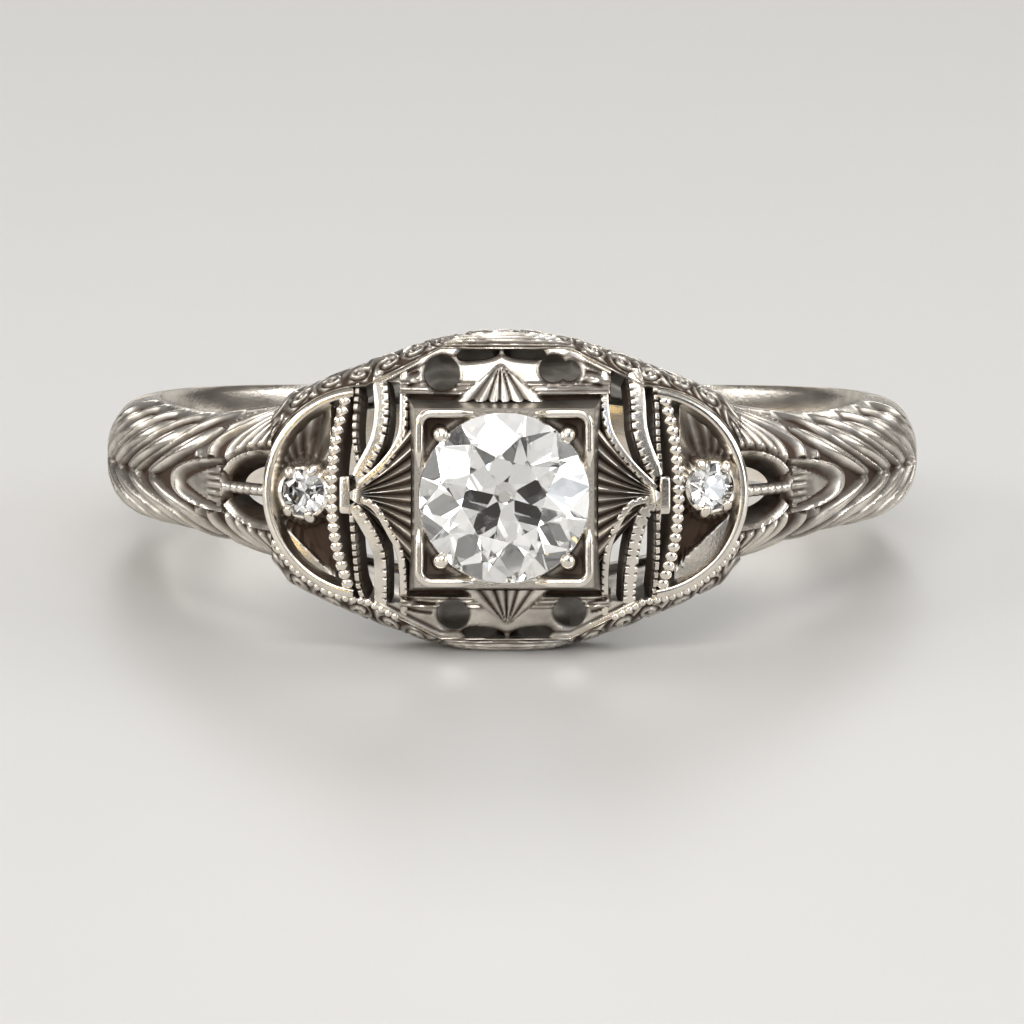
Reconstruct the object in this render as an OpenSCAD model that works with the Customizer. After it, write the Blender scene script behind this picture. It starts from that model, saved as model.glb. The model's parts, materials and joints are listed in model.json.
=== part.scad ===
// Filigree engagement ring with a bead-set centre stone in a square setting.
// The finger hole runs along Z and is centred on the origin. The head faces -Y, and +X is to the
// right of somebody who looks at the head. North is +Z and south is -Z.

/* [Finger and shank] */
// Diameter of the finger hole
finger_d = 16.9; // [14:0.1:21]
// Thickness of the shank at the back, opposite the head
back_t = 1.0; // [0.7:0.05:1.6]
// Thickness of the shank at its two sides
side_t = 1.3; // [0.9:0.05:1.9]
// Width of the shank at the back
back_w = 2.0; // [1.4:0.1:3]
// Width of the shank at its two sides
side_w = 2.84; // [2:0.1:3.2]
// Bend of the outer face of the shank and the shoulders across their width
section_r = 3.0; // [2:0.1:8]

/* [Head] */
// Width of the head along the finger
head_w = 7.3; // [6.4:0.1:9]
// Width where the curve of the head runs out into the shoulders
neck_w = 3.1; // [2.9:0.1:3.9]
// Distance from the middle of the head to where its curve runs out
head_reach = 6.8; // [6.4:0.1:8]
// Height of the crown of the head above the finger
head_rise = 3.75; // [3.2:0.05:5]
// Bend of the crown along the length of the head
crown_r = 10.1; // [8.5:0.1:13]
// Bend of the crown across its width
cross_r = 5.86; // [5:0.1:9]
// Distance from the middle of the head to where a shoulder starts
neck_x = 5.72; // [5.4:0.02:6.4]
// Thickness of the pierced metal of the crown
shell_t = 0.6; // [0.4:0.05:0.8]
// Width of the plain band around the edge of the crown
edge_w = 0.24; // [0.2:0.01:0.4]
// Clearance between neighbouring pieces
seam = 0.02; // [0.01:0.01:0.05]

/* [Rails and galleries] */
// Width of the head at the finger
base_w = 5.1; // [4.4:0.1:6]
// Thickness of the rails that run under the head
rail_t = 0.55; // [0.4:0.05:0.9]
// Width of the rails that run under the head
rail_w = 0.5; // [0.4:0.05:0.9]
// Thickness of the outer skin of a shoulder over its hollow
skin_t = 0.7; // [0.5:0.05:1]
// Thickness of the side walls of a shoulder beside its hollow
side_wall = 0.45; // [0.3:0.05:0.7]
// Distance from the middle of the head to where the hollow of a shoulder ends
hollow_x = 7.5; // [6.8:0.1:8]
// Length of a pierced arch in a shoulder, along the finger
arch_len = 1.0; // [0.6:0.05:1.1]
// Width of a pierced arch
arch_w = 0.72; // [0.4:0.02:0.8]

/* [Centre setting] */
// Diameter of the centre stone
stone_d = 3.96; // [3.2:0.02:4.3]
// Share of the stone's diameter that its flat table takes
table_share = 0.52; // [0.45:0.01:0.65]
// Height of the stone above its girdle
stone_crown_h = 0.62; // [0.3:0.01:0.9]
// Thickness of the girdle
girdle_t = 0.08; // [0.03:0.01:0.15]
// Depth of the stone below its girdle
pavilion_h = 1.75; // [1.3:0.01:2]
// Width of the small flat at the bottom of the stone
culet_d = 0.24; // [0.05:0.01:0.4]
// Share of the stone's diameter that the hole under it takes
seat_share = 0.8; // [0.6:0.05:0.85]
// How far the square setting stands out beyond the stone's girdle
box_margin = 0.27; // [0.2:0.01:0.3]
// Depth of the square setting
box_h = 1.1; // [0.7:0.05:1.4]
// Height of the setting above the crown of the head
box_rise = 0.15; // [0.05:0.05:0.4]
// How far the raised corner rims stand out beyond the girdle
rim_margin = 0.07; // [0.04:0.01:0.16]
// Width of a corner rim
rim_w = 0.2; // [0.12:0.01:0.24]
// Height of a corner rim
rim_h = 0.15; // [0.08:0.01:0.3]
// Depth of the hollow under each corner bead
corner_hollow = 0.3; // [0.1:0.05:0.5]
// Diameter of a corner bead
bead_d = 0.34; // [0.24:0.02:0.42]
// Distance of a corner bead from the edge of the centre stone
bead_reach = 0.1; // [0.06:0.01:0.16]

/* [Side settings] */
// Diameter of a side stone
side_stone_d = 1.12; // [0.8:0.02:1.4]
// Distance from the middle of the head to a side stone
side_stone_x = 4.8; // [4.7:0.05:4.9]
// Diameter of a side bead
side_bead_d = 0.3; // [0.2:0.02:0.36]
// Depth of a side stone's girdle below the crown
side_sink = 0.12; // [0:0.02:0.2]
// Depth of the floor of a side setting below the crown
seat_drop = 0.25; // [0.15:0.05:0.4]
// Half of the length that the curve of a side setting's rim would have as a whole oval
seat_r = 2.5; // [2.4:0.02:2.56]
// Share of the head's width that this oval takes
seat_span = 0.685; // [0.66:0.005:0.7]
// Distance from the middle of the head to the centre of that curve
seat_x = 3.15; // [3.1:0.01:3.2]
// Width of the rim
seat_rim_w = 0.28; // [0.2:0.02:0.34]
// Height of the rim above the crown
seat_rim_rise = 0.1; // [0.05:0.05:0.25]

/* [Filigree] */
// Distance from the middle of the head to the tip of a fan
fan_tip_x = 3.5; // [3.45:0.01:3.55]
// Width of a fan where it meets the setting
fan_w = 2.7; // [2:0.1:3]
// Width of a fan at its tip
fan_tip_w = 0.24; // [0.16:0.02:0.4]
// Length of a collar along the finger
collar_len = 0.9; // [0.6:0.05:1.2]
// Height of a collar above the crown
collar_rise = 0.08; // [0.02:0.02:0.2]
// Distance from the middle of the head to the inner side of a beaded strip
strip_x = 3.8; // [3.76:0.01:3.84]
// Width of a beaded strip
strip_w = 0.3; // [0.24:0.01:0.34]
// Number of beads on a strip
strip_beads = 15; // [9:2:17]
// Width of a top plate
plate_w = 4.9; // [4.7:0.05:5]
// Width of the narrowest metal between two openings
rib_w = 0.13; // [0.1:0.01:0.2]
// Lengths of the three pointed openings in each corner, from the setting outwards
leaf_lens = [1.6, 1.3, 1.4]; // [0.8:0.1:1.7]
// Widths of these openings
leaf_ws = [0.3, 0.34, 0.22]; // [0.1:0.02:0.36]
// Distances of their middles from the middle line
leaf_zs = [1.78, 1.7, 1.3]; // [1.2:0.02:1.9]
// Diameter of a round hole in a top plate
hole_d = 0.78; // [0.5:0.02:0.9]
// Distance of a round hole from the middle line
hole_x = 1.35; // [1.2:0.05:1.6]
// Length of a long hole near the edge of a top plate
eye_len = 0.9; // [0.6:0.05:1.0]
// Width of a long hole
eye_w = 0.3; // [0.2:0.02:0.4]
// Distance of a long hole from the middle line
eye_x = 0.55; // [0.5:0.01:0.6]

/* [Hidden] */
$fn = 64;

finger_r = finger_d / 2;
// The outer circle of the shank is set off centre, so that it is thin at the back.
shank_shift = (pow(finger_r + side_t, 2) - pow(finger_r + back_t, 2)) / (2 * (finger_r + back_t));
shank_r = finger_r + back_t + shank_shift;
side_x = finger_r + side_t;
// The crown is part of a ring of round section around an axis along Z.
crown_y = finger_r + head_rise - crown_r;
crown_major = crown_r - cross_r;
neck_y = crown_y + sqrt(pow(crown_r, 2) - pow(neck_x, 2));
// A shoulder's outer arc leaves the side of the shank along Y and ends on the crown at the neck.
shoulder_r = (pow(side_x - neck_x, 2) + pow(neck_y, 2)) / (2 * (side_x - neck_x));
shoulder_x = side_x - shoulder_r;
// The shank ends and the shoulders start a little behind the widest place.
split_y = 0.6;
reach = 3 * finger_r;
// Where the shoulders start to narrow towards the shank.
taper_y = sqrt(pow(finger_r, 2) - pow(neck_x, 2));
outline_steps = 24;
edge_power = 1.5;
box_half = stone_d / 2 + box_margin;
box_w = 2 * box_half;
rim_square_w = stone_d + 2 * rim_margin;
plate_level = finger_r + head_rise + box_rise;
fan_far = fan_tip_x - seam;
seat_half = seat_span * head_w / 2;
strip_z = (seat_half - seat_rim_w) * sqrt(1 - pow((strip_x - seat_x) / (seat_r - seat_rim_w), 2));
bead_pos = (stone_d / 2 + bead_reach) / sqrt(2);
side_tilt = asin(side_stone_x / crown_r);
seat_level = crown_r - seat_drop;
side_girdle = crown_r - side_sink;
gold = [0.86, 0.82, 0.76];
dark_gold = [0.66, 0.60, 0.53];
diamond = [0.92, 0.95, 0.98];

// Half of the width that the head has at x, for the edge of the crown or at the finger.
function width_at(x, full, neck) =
    neck / 2 + (full - neck) / 2 * pow(max(0, 1 - pow(x / head_reach, 2)), edge_power);
function edge_z(x) = width_at(x, head_w, neck_w);
function base_z(x) = width_at(x, base_w, neck_w - 0.1);
shoulder_half = edge_z(neck_x) + seam;
// Distance of the crown's surface in front of the axis of the finger.
function crown_at(x, z) =
    crown_y + sqrt(pow(crown_major + sqrt(pow(cross_r, 2) - pow(z, 2)), 2) - pow(x, 2));

// Draws its children as somebody sees them who looks at the head: X right, Y north, Z outwards.
module facing() rotate([90, 0, 0]) children();
module prism(from, to) facing() translate([0, 0, from]) linear_extrude(to - from) children();

// A solid layer of the crown: its outer face stands lift above the crown and it is thick deep.
module crown_layer(lift, thick) {
    translate([0, -crown_y, 0])
        rotate_extrude()
            intersection() {
                difference() {
                    translate([crown_major, 0]) circle(cross_r + lift);
                    translate([crown_major, 0]) circle(cross_r + lift - thick);
                }
                translate([crown_major + shell_t, -head_w]) square([crown_r, 2 * head_w]);
            }
}
// The part of such a layer that lies over the flat shape of the children.
module crown_piece(lift, thick) {
    intersection() {
        crown_layer(lift, thick);
        prism(finger_r - rail_t, plate_level + 1) children();
    }
}
// The flat shape of the head between two distances from the middle, drawn in by inset.
module head_outline(x_from, x_to, inset, full = head_w, neck = neck_w) {
    step = (x_to - x_from) / outline_steps;
    xs = [for (i = [0:outline_steps]) x_from + i * step];
    polygon(concat(
        [for (x = xs) [x, width_at(x, full, neck) - inset]],
        [for (i = [outline_steps:-1:0]) [xs[i], inset - width_at(xs[i], full, neck)]]));
}
// A pointed oval: two arcs that meet at both ends.
module lens(long, wide) {
    bow = (pow(long, 2) + pow(wide, 2)) / (4 * wide);
    intersection() {
        translate([wide / 2 - bow, 0]) circle(bow);
        translate([bow - wide / 2, 0]) circle(bow);
    }
}
// A slot with round ends, along X.
module slot(long, wide) {
    square([long - wide, wide], center = true);
    for (side = [-1, 1])
        translate([side * (long - wide) / 2, 0]) circle(wide / 2);
}

// The shank: a ring with a bowed outer face that narrows towards the back.
module side_taper() {
    rotate([90, 0, 90])
        translate([0, 0, -reach])
            linear_extrude(2 * reach)
                polygon([[-reach, -shoulder_half], [-taper_y, -shoulder_half], [0, -side_w / 2],
                         [finger_r + back_t, -back_w / 2], [reach, -back_w / 2],
                         [reach, back_w / 2], [finger_r + back_t, back_w / 2],
                         [0, side_w / 2], [-taper_y, shoulder_half], [-reach, shoulder_half]]);
}
module bowed_drum(radius, bow) {
    rotate_extrude()
        intersection() {
            translate([radius - bow, 0]) circle(bow);
            translate([0, -head_w / 2]) square([radius, head_w]);
        }
}
module finger_hole() translate([0, 0, -head_w]) cylinder(h = 2 * head_w, r = finger_r);
module shank() {
    color(gold)
        difference() {
            intersection() {
                translate([0, -shank_shift, 0]) bowed_drum(shank_r, section_r);
                side_taper();
                translate([-reach, split_y + seam / 2, -head_w]) cube([2 * reach, reach, 2 * head_w]);
            }
            finger_hole();
        }
}

// A shoulder, drawn on the right: an arched body that is hollow behind its two pierced arches.
module shoulder_block(radius, bow) {
    translate([shoulder_x, 0, 0])
        rotate_extrude()
            translate([radius - bow, 0])
                intersection() {
                    circle(bow);
                    translate([0, -shoulder_half]) square([bow, 2 * shoulder_half]);
                }
}
module shoulder_hollow() {
    intersection() {
        shoulder_block(shoulder_r - skin_t, section_r - skin_t);
        prism(-finger_r, plate_level) head_outline(neck_x - 1, hollow_x, side_wall);
    }
}
module shoulder() {
    arch_x = neck_x + rib_w + arch_w / 2;
    difference() {
        intersection() {
            union() {
                shoulder_block(shoulder_r, section_r);
                translate([shoulder_x, 0, -shoulder_half])
                    cylinder(h = 2 * shoulder_half, r = shoulder_r - section_r);
            }
            prism(-split_y + seam / 2, plate_level)
                head_outline(neck_x + seam / 2, side_x + shell_t, 0);
            side_taper();
        }
        finger_hole();
        shoulder_hollow();
        prism(0, plate_level)
            for (side = [-1, 1])
                translate([arch_x, side * (arch_len + rib_w) / 2]) lens(arch_len, arch_w);
    }
}
module shoulder_right() color(gold) shoulder();
module shoulder_left() color(gold) mirror([1, 0, 0]) shoulder();

// The rails: strips along the finger hole, under the two long sides of the head.
module base_rail() {
    intersection() {
        difference() {
            translate([0, 0, -head_w]) cylinder(h = 2 * head_w, r = finger_r + rail_t);
            finger_hole();
        }
        prism(0, reach)
            difference() {
                head_outline(-neck_x + seam / 2, neck_x - seam / 2, 0, base_w, neck_w - 0.1);
                head_outline(-neck_x, neck_x, rail_w, base_w, neck_w - 0.1);
                translate([-reach, -reach]) square([2 * reach, reach]);
            }
    }
}
module base_rail_north() color(dark_gold) base_rail();
module base_rail_south() color(dark_gold) mirror([0, 0, 1]) base_rail();

// The galleries: leaning side walls from the rails up to the edge of the crown.
function gallery_ring(x) =
    let (low = sqrt(pow(finger_r + rail_t + seam, 2) - pow(x, 2)), top = edge_z(x), foot = base_z(x))
    [[x, -crown_at(x, top), top],
     [x, -low, foot],
     [x, -low, foot - edge_w],
     [x, -crown_at(x, top - edge_w), top - edge_w]];
module gallery() {
    start = -neck_x + seam / 2;
    step = -2 * start / outline_steps;
    rings = [for (i = [0:outline_steps]) gallery_ring(start + i * step)];
    corners = 4;
    points = [for (ring = rings) for (p = ring) p];
    last = outline_steps * corners;
    polyhedron(
        points = points,
        faces = concat(
            [[for (k = [0:corners - 1]) corners - 1 - k]],
            [[for (k = [0:corners - 1]) last + k]],
            [for (i = [0:outline_steps - 1]) for (k = [0:corners - 1])
                let (a = i * corners + k, b = i * corners + (k + 1) % corners)
                [a, b, b + corners]],
            [for (i = [0:outline_steps - 1]) for (k = [0:corners - 1])
                let (a = i * corners + k, b = i * corners + (k + 1) % corners)
                [a, b + corners, a + corners]]));
}
module gallery_north() color(gold) gallery();
module gallery_south() color(gold) mirror([0, 0, 1]) gallery();

// The top plates: engraved plates north and south of the setting, each with four holes.
module top_plate() {
    crown_piece(0, shell_t)
        difference() {
            intersection() {
                head_outline(-plate_w / 2, plate_w / 2, edge_w + seam);
                translate([-plate_w / 2, box_half + seam]) square([plate_w, head_w]);
            }
            for (side = [-1, 1]) {
                translate([side * hole_x, edge_z(hole_x) - edge_w - hole_d / 2 - rib_w])
                    circle(hole_d / 2);
                translate([side * eye_x, edge_z(eye_x) - edge_w - eye_w / 2 - rib_w / 2])
                    slot(eye_len, eye_w);
            }
        }
}
module top_plate_north() color(gold) top_plate();
module top_plate_south() color(gold) mirror([0, 0, 1]) top_plate();

// The fans: engraved wedges from the sides of the setting out to the collars.
module fan_shape(grow) {
    start = box_half + seam - grow;
    polygon([[start, fan_w / 2 + grow], [fan_far + grow, fan_tip_w / 2 + grow],
             [fan_far + grow, -fan_tip_w / 2 - grow], [start, -fan_w / 2 - grow]]);
}
module fan() crown_piece(0, shell_t) fan_shape(0);
module fan_right() color(gold) fan();
module fan_left() color(gold) mirror([1, 0, 0]) fan();

module collar_shape(grow) {
    wide = strip_x - seam - fan_tip_x;
    translate([fan_tip_x + wide / 2, 0])
        square([wide + 2 * grow, collar_len + 2 * grow], center = true);
}
module collar() crown_piece(collar_rise, shell_t + collar_rise) collar_shape(0);
module collar_right() color(gold) collar();
module collar_left() color(gold) mirror([1, 0, 0]) collar();

// The leaf ribs: each corner's pierced plate, with three pointed openings between its ribs.
function leaf_x(i) =
    i == 0 ? plate_w / 2 + seam + rib_w + leaf_ws[0] / 2
           : leaf_x(i - 1) + (leaf_ws[i - 1] + leaf_ws[i]) / 2 + rib_w;
module leaf_ribs() {
    crown_piece(0, shell_t)
        difference() {
            intersection() {
                head_outline(plate_w / 2 + seam, strip_x - seam, edge_w + seam);
                translate([0, fan_tip_w / 2 + seam]) square(head_w);
            }
            fan_shape(seam);
            collar_shape(seam);
            seat_rim_shape(seam);
            for (i = [0:2])
                translate([leaf_x(i), leaf_zs[i]]) lens(leaf_lens[i], leaf_ws[i]);
        }
}
module leaf_ribs_northeast() color(gold) leaf_ribs();
module leaf_ribs_northwest() color(gold) mirror([1, 0, 0]) leaf_ribs();
module leaf_ribs_southeast() color(gold) mirror([0, 0, 1]) leaf_ribs();
module leaf_ribs_southwest() color(gold) mirror([1, 0, 0]) mirror([0, 0, 1]) leaf_ribs();

// The oval of a side setting's rim, drawn in by inset.
module seat_oval(inset) translate([seat_x, 0]) scale([seat_r - inset, seat_half - inset]) circle(1);

// The beaded strips: a row of beads along the straight side of each side setting.
module beaded_strip() {
    first = strip_z - strip_w / 2 - seam;
    pitch = 2 * first / (strip_beads - 1);
    crown_piece(0, shell_t)
        intersection() {
            seat_oval(seat_rim_w + seam);
            translate([strip_x, -head_w]) square([strip_w, 2 * head_w]);
        }
    for (i = [0:strip_beads - 1]) {
        z = -first + i * pitch;
        x = strip_x + strip_w / 2;
        translate([x, -crown_at(x, z), z]) sphere(pitch * 0.46, $fn = 24);
    }
}
module beaded_strip_right() color(gold) beaded_strip();
module beaded_strip_left() color(gold) mirror([1, 0, 0]) beaded_strip();

// A round stone's outline from the girdle down and up, a little larger by gap.
module stone_space(d, gap) {
    share = d / stone_d;
    rotate_extrude()
        polygon([[0, -(pavilion_h + girdle_t / 2) * share - gap],
                 [culet_d / 2 * share + gap, -(pavilion_h + girdle_t / 2) * share - gap],
                 [d / 2 + gap, -girdle_t / 2 * share],
                 [d / 2 + gap, girdle_t / 2 * share],
                 [table_share * d / 2 + gap, (stone_crown_h + girdle_t / 2) * share + gap],
                 [0, (stone_crown_h + girdle_t / 2) * share + gap]]);
}
// A stone with an eight-sided table, sixteen-sided girdle and eight-sided culet.
module stone(d) {
    share = d / stone_d;
    table_z = (girdle_t / 2 + stone_crown_h) * share;
    culet_z = -(girdle_t / 2 + pavilion_h) * share;
    flat = 0.01 * share;
    hull() {
        translate([0, 0, table_z - flat])
            rotate(22.5) cylinder(h = flat, d = table_share * d, $fn = 8);
        translate([0, 0, -girdle_t / 2 * share])
            cylinder(h = girdle_t * share, d = d, $fn = 16);
        translate([0, 0, culet_z])
            rotate(22.5) cylinder(h = flat, d = culet_d * share, $fn = 8);
    }
}
module centre_place() facing() translate([0, 0, plate_level]) children();
module side_place(height) {
    translate([0, -crown_y, 0])
        rotate([0, 0, side_tilt])
            facing() translate([0, 0, height]) children();
}

// The side settings: sunken floors, curved rims, beads and stones.
module side_seat() {
    difference() {
        crown_piece(-seat_drop, shell_t - seat_drop / 2)
            intersection() {
                seat_oval(seat_rim_w + seam);
                translate([strip_x + strip_w + seam, -head_w]) square([head_w, 2 * head_w]);
            }
        side_place(side_girdle) stone_space(side_stone_d, seam);
    }
}
module side_seat_right() color(dark_gold) side_seat();
module side_seat_left() color(dark_gold) mirror([1, 0, 0]) side_seat();

module seat_rim_shape(grow) {
    start = fan_tip_x - seam - grow;
    intersection() {
        difference() {
            seat_oval(-grow);
            seat_oval(seat_rim_w + grow);
        }
        translate([start, -head_w]) square([head_w, 2 * head_w]);
        head_outline(0, neck_x - seam / 2, edge_w + seam - grow);
    }
}
module seat_rim() crown_piece(seat_rim_rise, shell_t + seat_rim_rise) seat_rim_shape(0);
module seat_rim_right() color(gold) seat_rim();
module seat_rim_left() color(gold) mirror([1, 0, 0]) seat_rim();

module side_beads() {
    place = side_stone_d / 2 + side_bead_d / 4;
    difference() {
        for (k = [0:3])
            side_place(seat_level + side_bead_d / 2)
                rotate(45 + 90 * k) translate([place, 0, 0]) sphere(side_bead_d / 2, $fn = 32);
        side_place(side_girdle) stone_space(side_stone_d, seam);
    }
}
module side_beads_right() color(gold) side_beads();
module side_beads_left() color(gold) mirror([1, 0, 0]) side_beads();
module side_diamond_right() color(diamond) side_place(side_girdle) stone(side_stone_d);
module side_diamond_left() color(diamond) mirror([1, 0, 0]) side_diamond_right();

// The centre setting: a square box with a tapered seat, four corner rims and four beads.
module centre_box() {
    color(dark_gold)
        difference() {
            centre_place()
                translate([-box_half, -box_half, -box_h]) cube([box_w, box_w, box_h]);
            centre_place() stone_space(stone_d, seam);
            centre_place()
                translate([0, 0, -2 * box_h]) cylinder(h = 2 * box_h, d = stone_d * seat_share);
            for (k = [0:3])
                centre_place()
                    rotate(90 * k)
                        translate([bead_pos, bead_pos, -corner_hollow])
                            cylinder(h = 2 * corner_hollow, d = bead_d + 2 * seam);
        }
}
module corner_rims() {
    color(gold)
        difference() {
            centre_place()
                linear_extrude(rim_h)
                    difference() {
                        square(rim_square_w, center = true);
                        square(rim_square_w - 2 * rim_w, center = true);
                    }
            centre_place()
                translate([0, 0, -rim_h]) cylinder(h = 3 * rim_h, d = stone_d + 2 * seam);
        }
}
module centre_beads() {
    color(gold)
        difference() {
            for (k = [0:3])
                centre_place()
                    rotate(90 * k)
                        translate([bead_pos, bead_pos, -corner_hollow]) {
                            cylinder(h = corner_hollow, d = bead_d);
                            translate([0, 0, corner_hollow]) sphere(bead_d / 2, $fn = 32);
                        }
            centre_place() stone_space(stone_d, seam);
        }
}
module centre_diamond() color(diamond) centre_place() stone(stone_d);

shank();
shoulder_left();
shoulder_right();
base_rail_north();
base_rail_south();
gallery_north();
gallery_south();
top_plate_north();
top_plate_south();
fan_left();
fan_right();
leaf_ribs_northwest();
leaf_ribs_northeast();
leaf_ribs_southwest();
leaf_ribs_southeast();
collar_left();
collar_right();
beaded_strip_left();
beaded_strip_right();
side_seat_left();
side_seat_right();
seat_rim_left();
seat_rim_right();
centre_box();
corner_rims();
centre_beads();
centre_diamond();
side_beads_left();
side_beads_right();
side_diamond_left();
side_diamond_right();
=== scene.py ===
import json
import math

import bpy
import numpy as np
from bpy.props import FloatProperty, FloatVectorProperty, PointerProperty
from mathutils import Matrix, Vector


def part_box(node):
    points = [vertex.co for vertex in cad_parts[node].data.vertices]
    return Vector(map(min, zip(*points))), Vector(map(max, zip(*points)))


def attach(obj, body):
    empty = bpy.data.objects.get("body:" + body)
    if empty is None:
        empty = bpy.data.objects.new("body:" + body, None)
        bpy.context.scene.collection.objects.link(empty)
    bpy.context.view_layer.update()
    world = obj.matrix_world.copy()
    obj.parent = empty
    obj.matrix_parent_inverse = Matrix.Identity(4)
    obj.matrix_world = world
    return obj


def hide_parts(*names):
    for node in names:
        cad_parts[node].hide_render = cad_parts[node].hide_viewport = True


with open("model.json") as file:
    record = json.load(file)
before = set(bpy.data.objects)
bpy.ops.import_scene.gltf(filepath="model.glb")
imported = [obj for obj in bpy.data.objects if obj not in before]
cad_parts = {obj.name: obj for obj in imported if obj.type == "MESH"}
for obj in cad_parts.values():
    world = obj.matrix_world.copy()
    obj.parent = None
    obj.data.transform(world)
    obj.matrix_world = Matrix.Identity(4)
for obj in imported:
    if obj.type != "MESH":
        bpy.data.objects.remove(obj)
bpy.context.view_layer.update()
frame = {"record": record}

bl_info = {
    "name": "Filigree ring maker",
    "version": (1, 0, 0),
    "blender": (4, 5, 0),
    "location": "3D View > Sidebar > Ring",
    "description": "Makes a filigree engagement ring round its packed frame",
    "category": "Add Mesh",
}

# The ring lies in the frame's XY plane with its finger hole along Z and its head towards -Y.
# Shapes are worked out in millimetres and put into the meshes in metres.
MM = 0.001


def extent(node):
    """The lowest and highest corners of a CAD node, in millimetres."""
    low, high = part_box(node)
    return np.array(low) / MM, np.array(high) / MM


# Driving places, read off the frame.
FINGER_R = frame["record"]["mounts"][0]["dims"]["r_mm"]
STONE_LOW, STONE_HIGH = extent("centre_diamond")
BOX_LOW, BOX_HIGH = extent("centre_box")
SIDE_LOW, SIDE_HIGH = extent("side_diamond_right")
COLLAR_LOW, COLLAR_HIGH = extent("collar_right")
RIM_HIGH = extent("seat_rim_right")[1]
SHANK_HIGH = extent("shank")[1]

# Radii of the centre stone and of the side stones.
STONE_R = (STONE_HIGH[0] - STONE_LOW[0]) / 2
SIDE_STONE_R = (SIDE_HIGH[2] - SIDE_LOW[2]) / 2
# Half widths: of the head in the middle, of its foot, and of the band at its sides and its back.
HEAD_HALF = extent("gallery_north")[1][2]
BASE_HALF = extent("base_rail_north")[1][2]
SIDE_HALF = SHANK_HIGH[2]
BACK_HALF = 1.0
# Where the shoulders start, and the band's outside at the back and at the sides.
NECK_X = extent("shoulder_right")[0][0]
BACK_Y = SHANK_HIGH[1]
SIDE_R = SHANK_HIGH[0] + 0.035
# The square setting's half width and its front.
BOX_HALF = BOX_HIGH[0]
SETTING_Y = BOX_LOW[1]
# Radius and middle of the round rims of the side settings.
RIM_R = RIM_HIGH[2]
RIM_X = RIM_HIGH[0] - RIM_R
# Ends of the straight cuts across the crown's corners: distances from the middle, both ways.
CUT_X = (1.50, 3.0, RIM_X + 0.05)
CUT_Z = (3.36, 2.60, RIM_R)
# The band's turn from the head, in radians, at which the shoulders end and the shank begins.
SHANK_START = math.radians(93.5)
# Power of the oval that rounds the band's section: 2 is a true oval, and more is squarer.
BAND_POWER = 2.3
# How far the side stones stand off the middle line, and how far their middles are moved outwards
# from the frame's place. The right-hand one is 1 and the left-hand one -1.
SIDE_RISE = {1: 0.14, -1: 0.0}
SIDE_SHIFT = {1: 0.04, -1: -0.06}
# The straight inner edge of a side setting's polished facet, from its low end at the beaded
# strip to its high end at the rim.
FACET_EDGE = {1: ((3.66, -1.96), (5.36, -0.42)), -1: ((3.76, -2.16), (5.32, -0.66))}
# Middle line of the left and right beaded strips, and the place where a seat's floor meets it.
STRIP_LINE = [(3.72, 2.15), (3.93, 1.2), (4.02, 0.0), (3.93, -1.1), (3.66, -2.1)]
STRIP_X = 3.93
# Slope of the stones' pavilions, at which most light comes back to the front.
PAVILION_ANGLE = math.radians(40.9)
# How deep the stones' girdles and beads sit under the crown in the side settings.
SIDE_SINK = 0.12
# Where a fan ends, out from the middle.
FAN_TIP = 3.62


class RingSizes(bpy.types.PropertyGroup):
    """Sizes of the ring's worked surfaces, in millimetres where no unit is shown."""

    crown_bend: FloatProperty(name="Crown bend", description="Radius of the crown along the head",
                              default=10.1, min=8, max=13)
    cross_bend: FloatProperty(name="Cross bend", description="Radius of the crown across the head",
                              default=5.86, min=4, max=9)
    crown_drop: FloatProperty(name="Setting rise", description="Height of the setting over the crown",
                              default=0.15, min=0, max=0.6)
    neck_half: FloatProperty(name="Neck half width", description="Half width where the head runs out",
                             default=1.55, min=1, max=2)
    head_reach: FloatProperty(name="Head reach", description="Distance at which the head runs out",
                              default=6.8, min=6, max=8)
    shell: FloatProperty(name="Metal thickness", description="Thickness of the pierced crown",
                         default=0.6, min=0.3, max=0.9)
    edge_band: FloatProperty(name="Edge band", description="Width of the band round the crown",
                             default=0.13, min=0.05, max=0.5)
    grain: FloatProperty(name="Grain", description="Finest spacing of the worked surfaces",
                         default=0.03, min=0.015, max=0.1)
    notch_pitch: FloatProperty(name="Milgrain pitch", description="Spacing of the milgrain notches",
                               default=0.20, min=0.1, max=0.5)
    notch_depth: FloatProperty(name="Milgrain depth", description="Depth of the milgrain notches",
                               default=0.08, min=0, max=0.2)
    leaf_relief: FloatProperty(name="Leaf relief", description="Height of the chased leaves",
                               default=0.22, min=0, max=0.4)
    scroll_relief: FloatProperty(name="Scroll relief", description="Height of the gallery scrolls",
                                 default=0.10, min=0, max=0.3)


class RingFinishes(bpy.types.PropertyGroup):
    """Colours and finishes of the ring."""

    gold: FloatVectorProperty(name="White gold", description="Colour of the polished metal",
                              default=(0.90, 0.84, 0.755), subtype="COLOR", min=0, max=1)
    # Colour of the painted shade in the recesses, together with their tarnish.
    shade_and_tarnish: FloatVectorProperty(name="Shade and tarnish", description="Colour of the deep recesses",
                                 default=(0.055, 0.029, 0.015), subtype="COLOR", min=0, max=1)
    polish: FloatProperty(name="Polish", description="Roughness of the polished metal",
                          default=0.17, min=0, max=1, subtype="FACTOR")
    stone_ior: FloatProperty(name="Refraction", description="Refractive index of the stones",
                             default=2.417, min=1, max=3)


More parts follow.
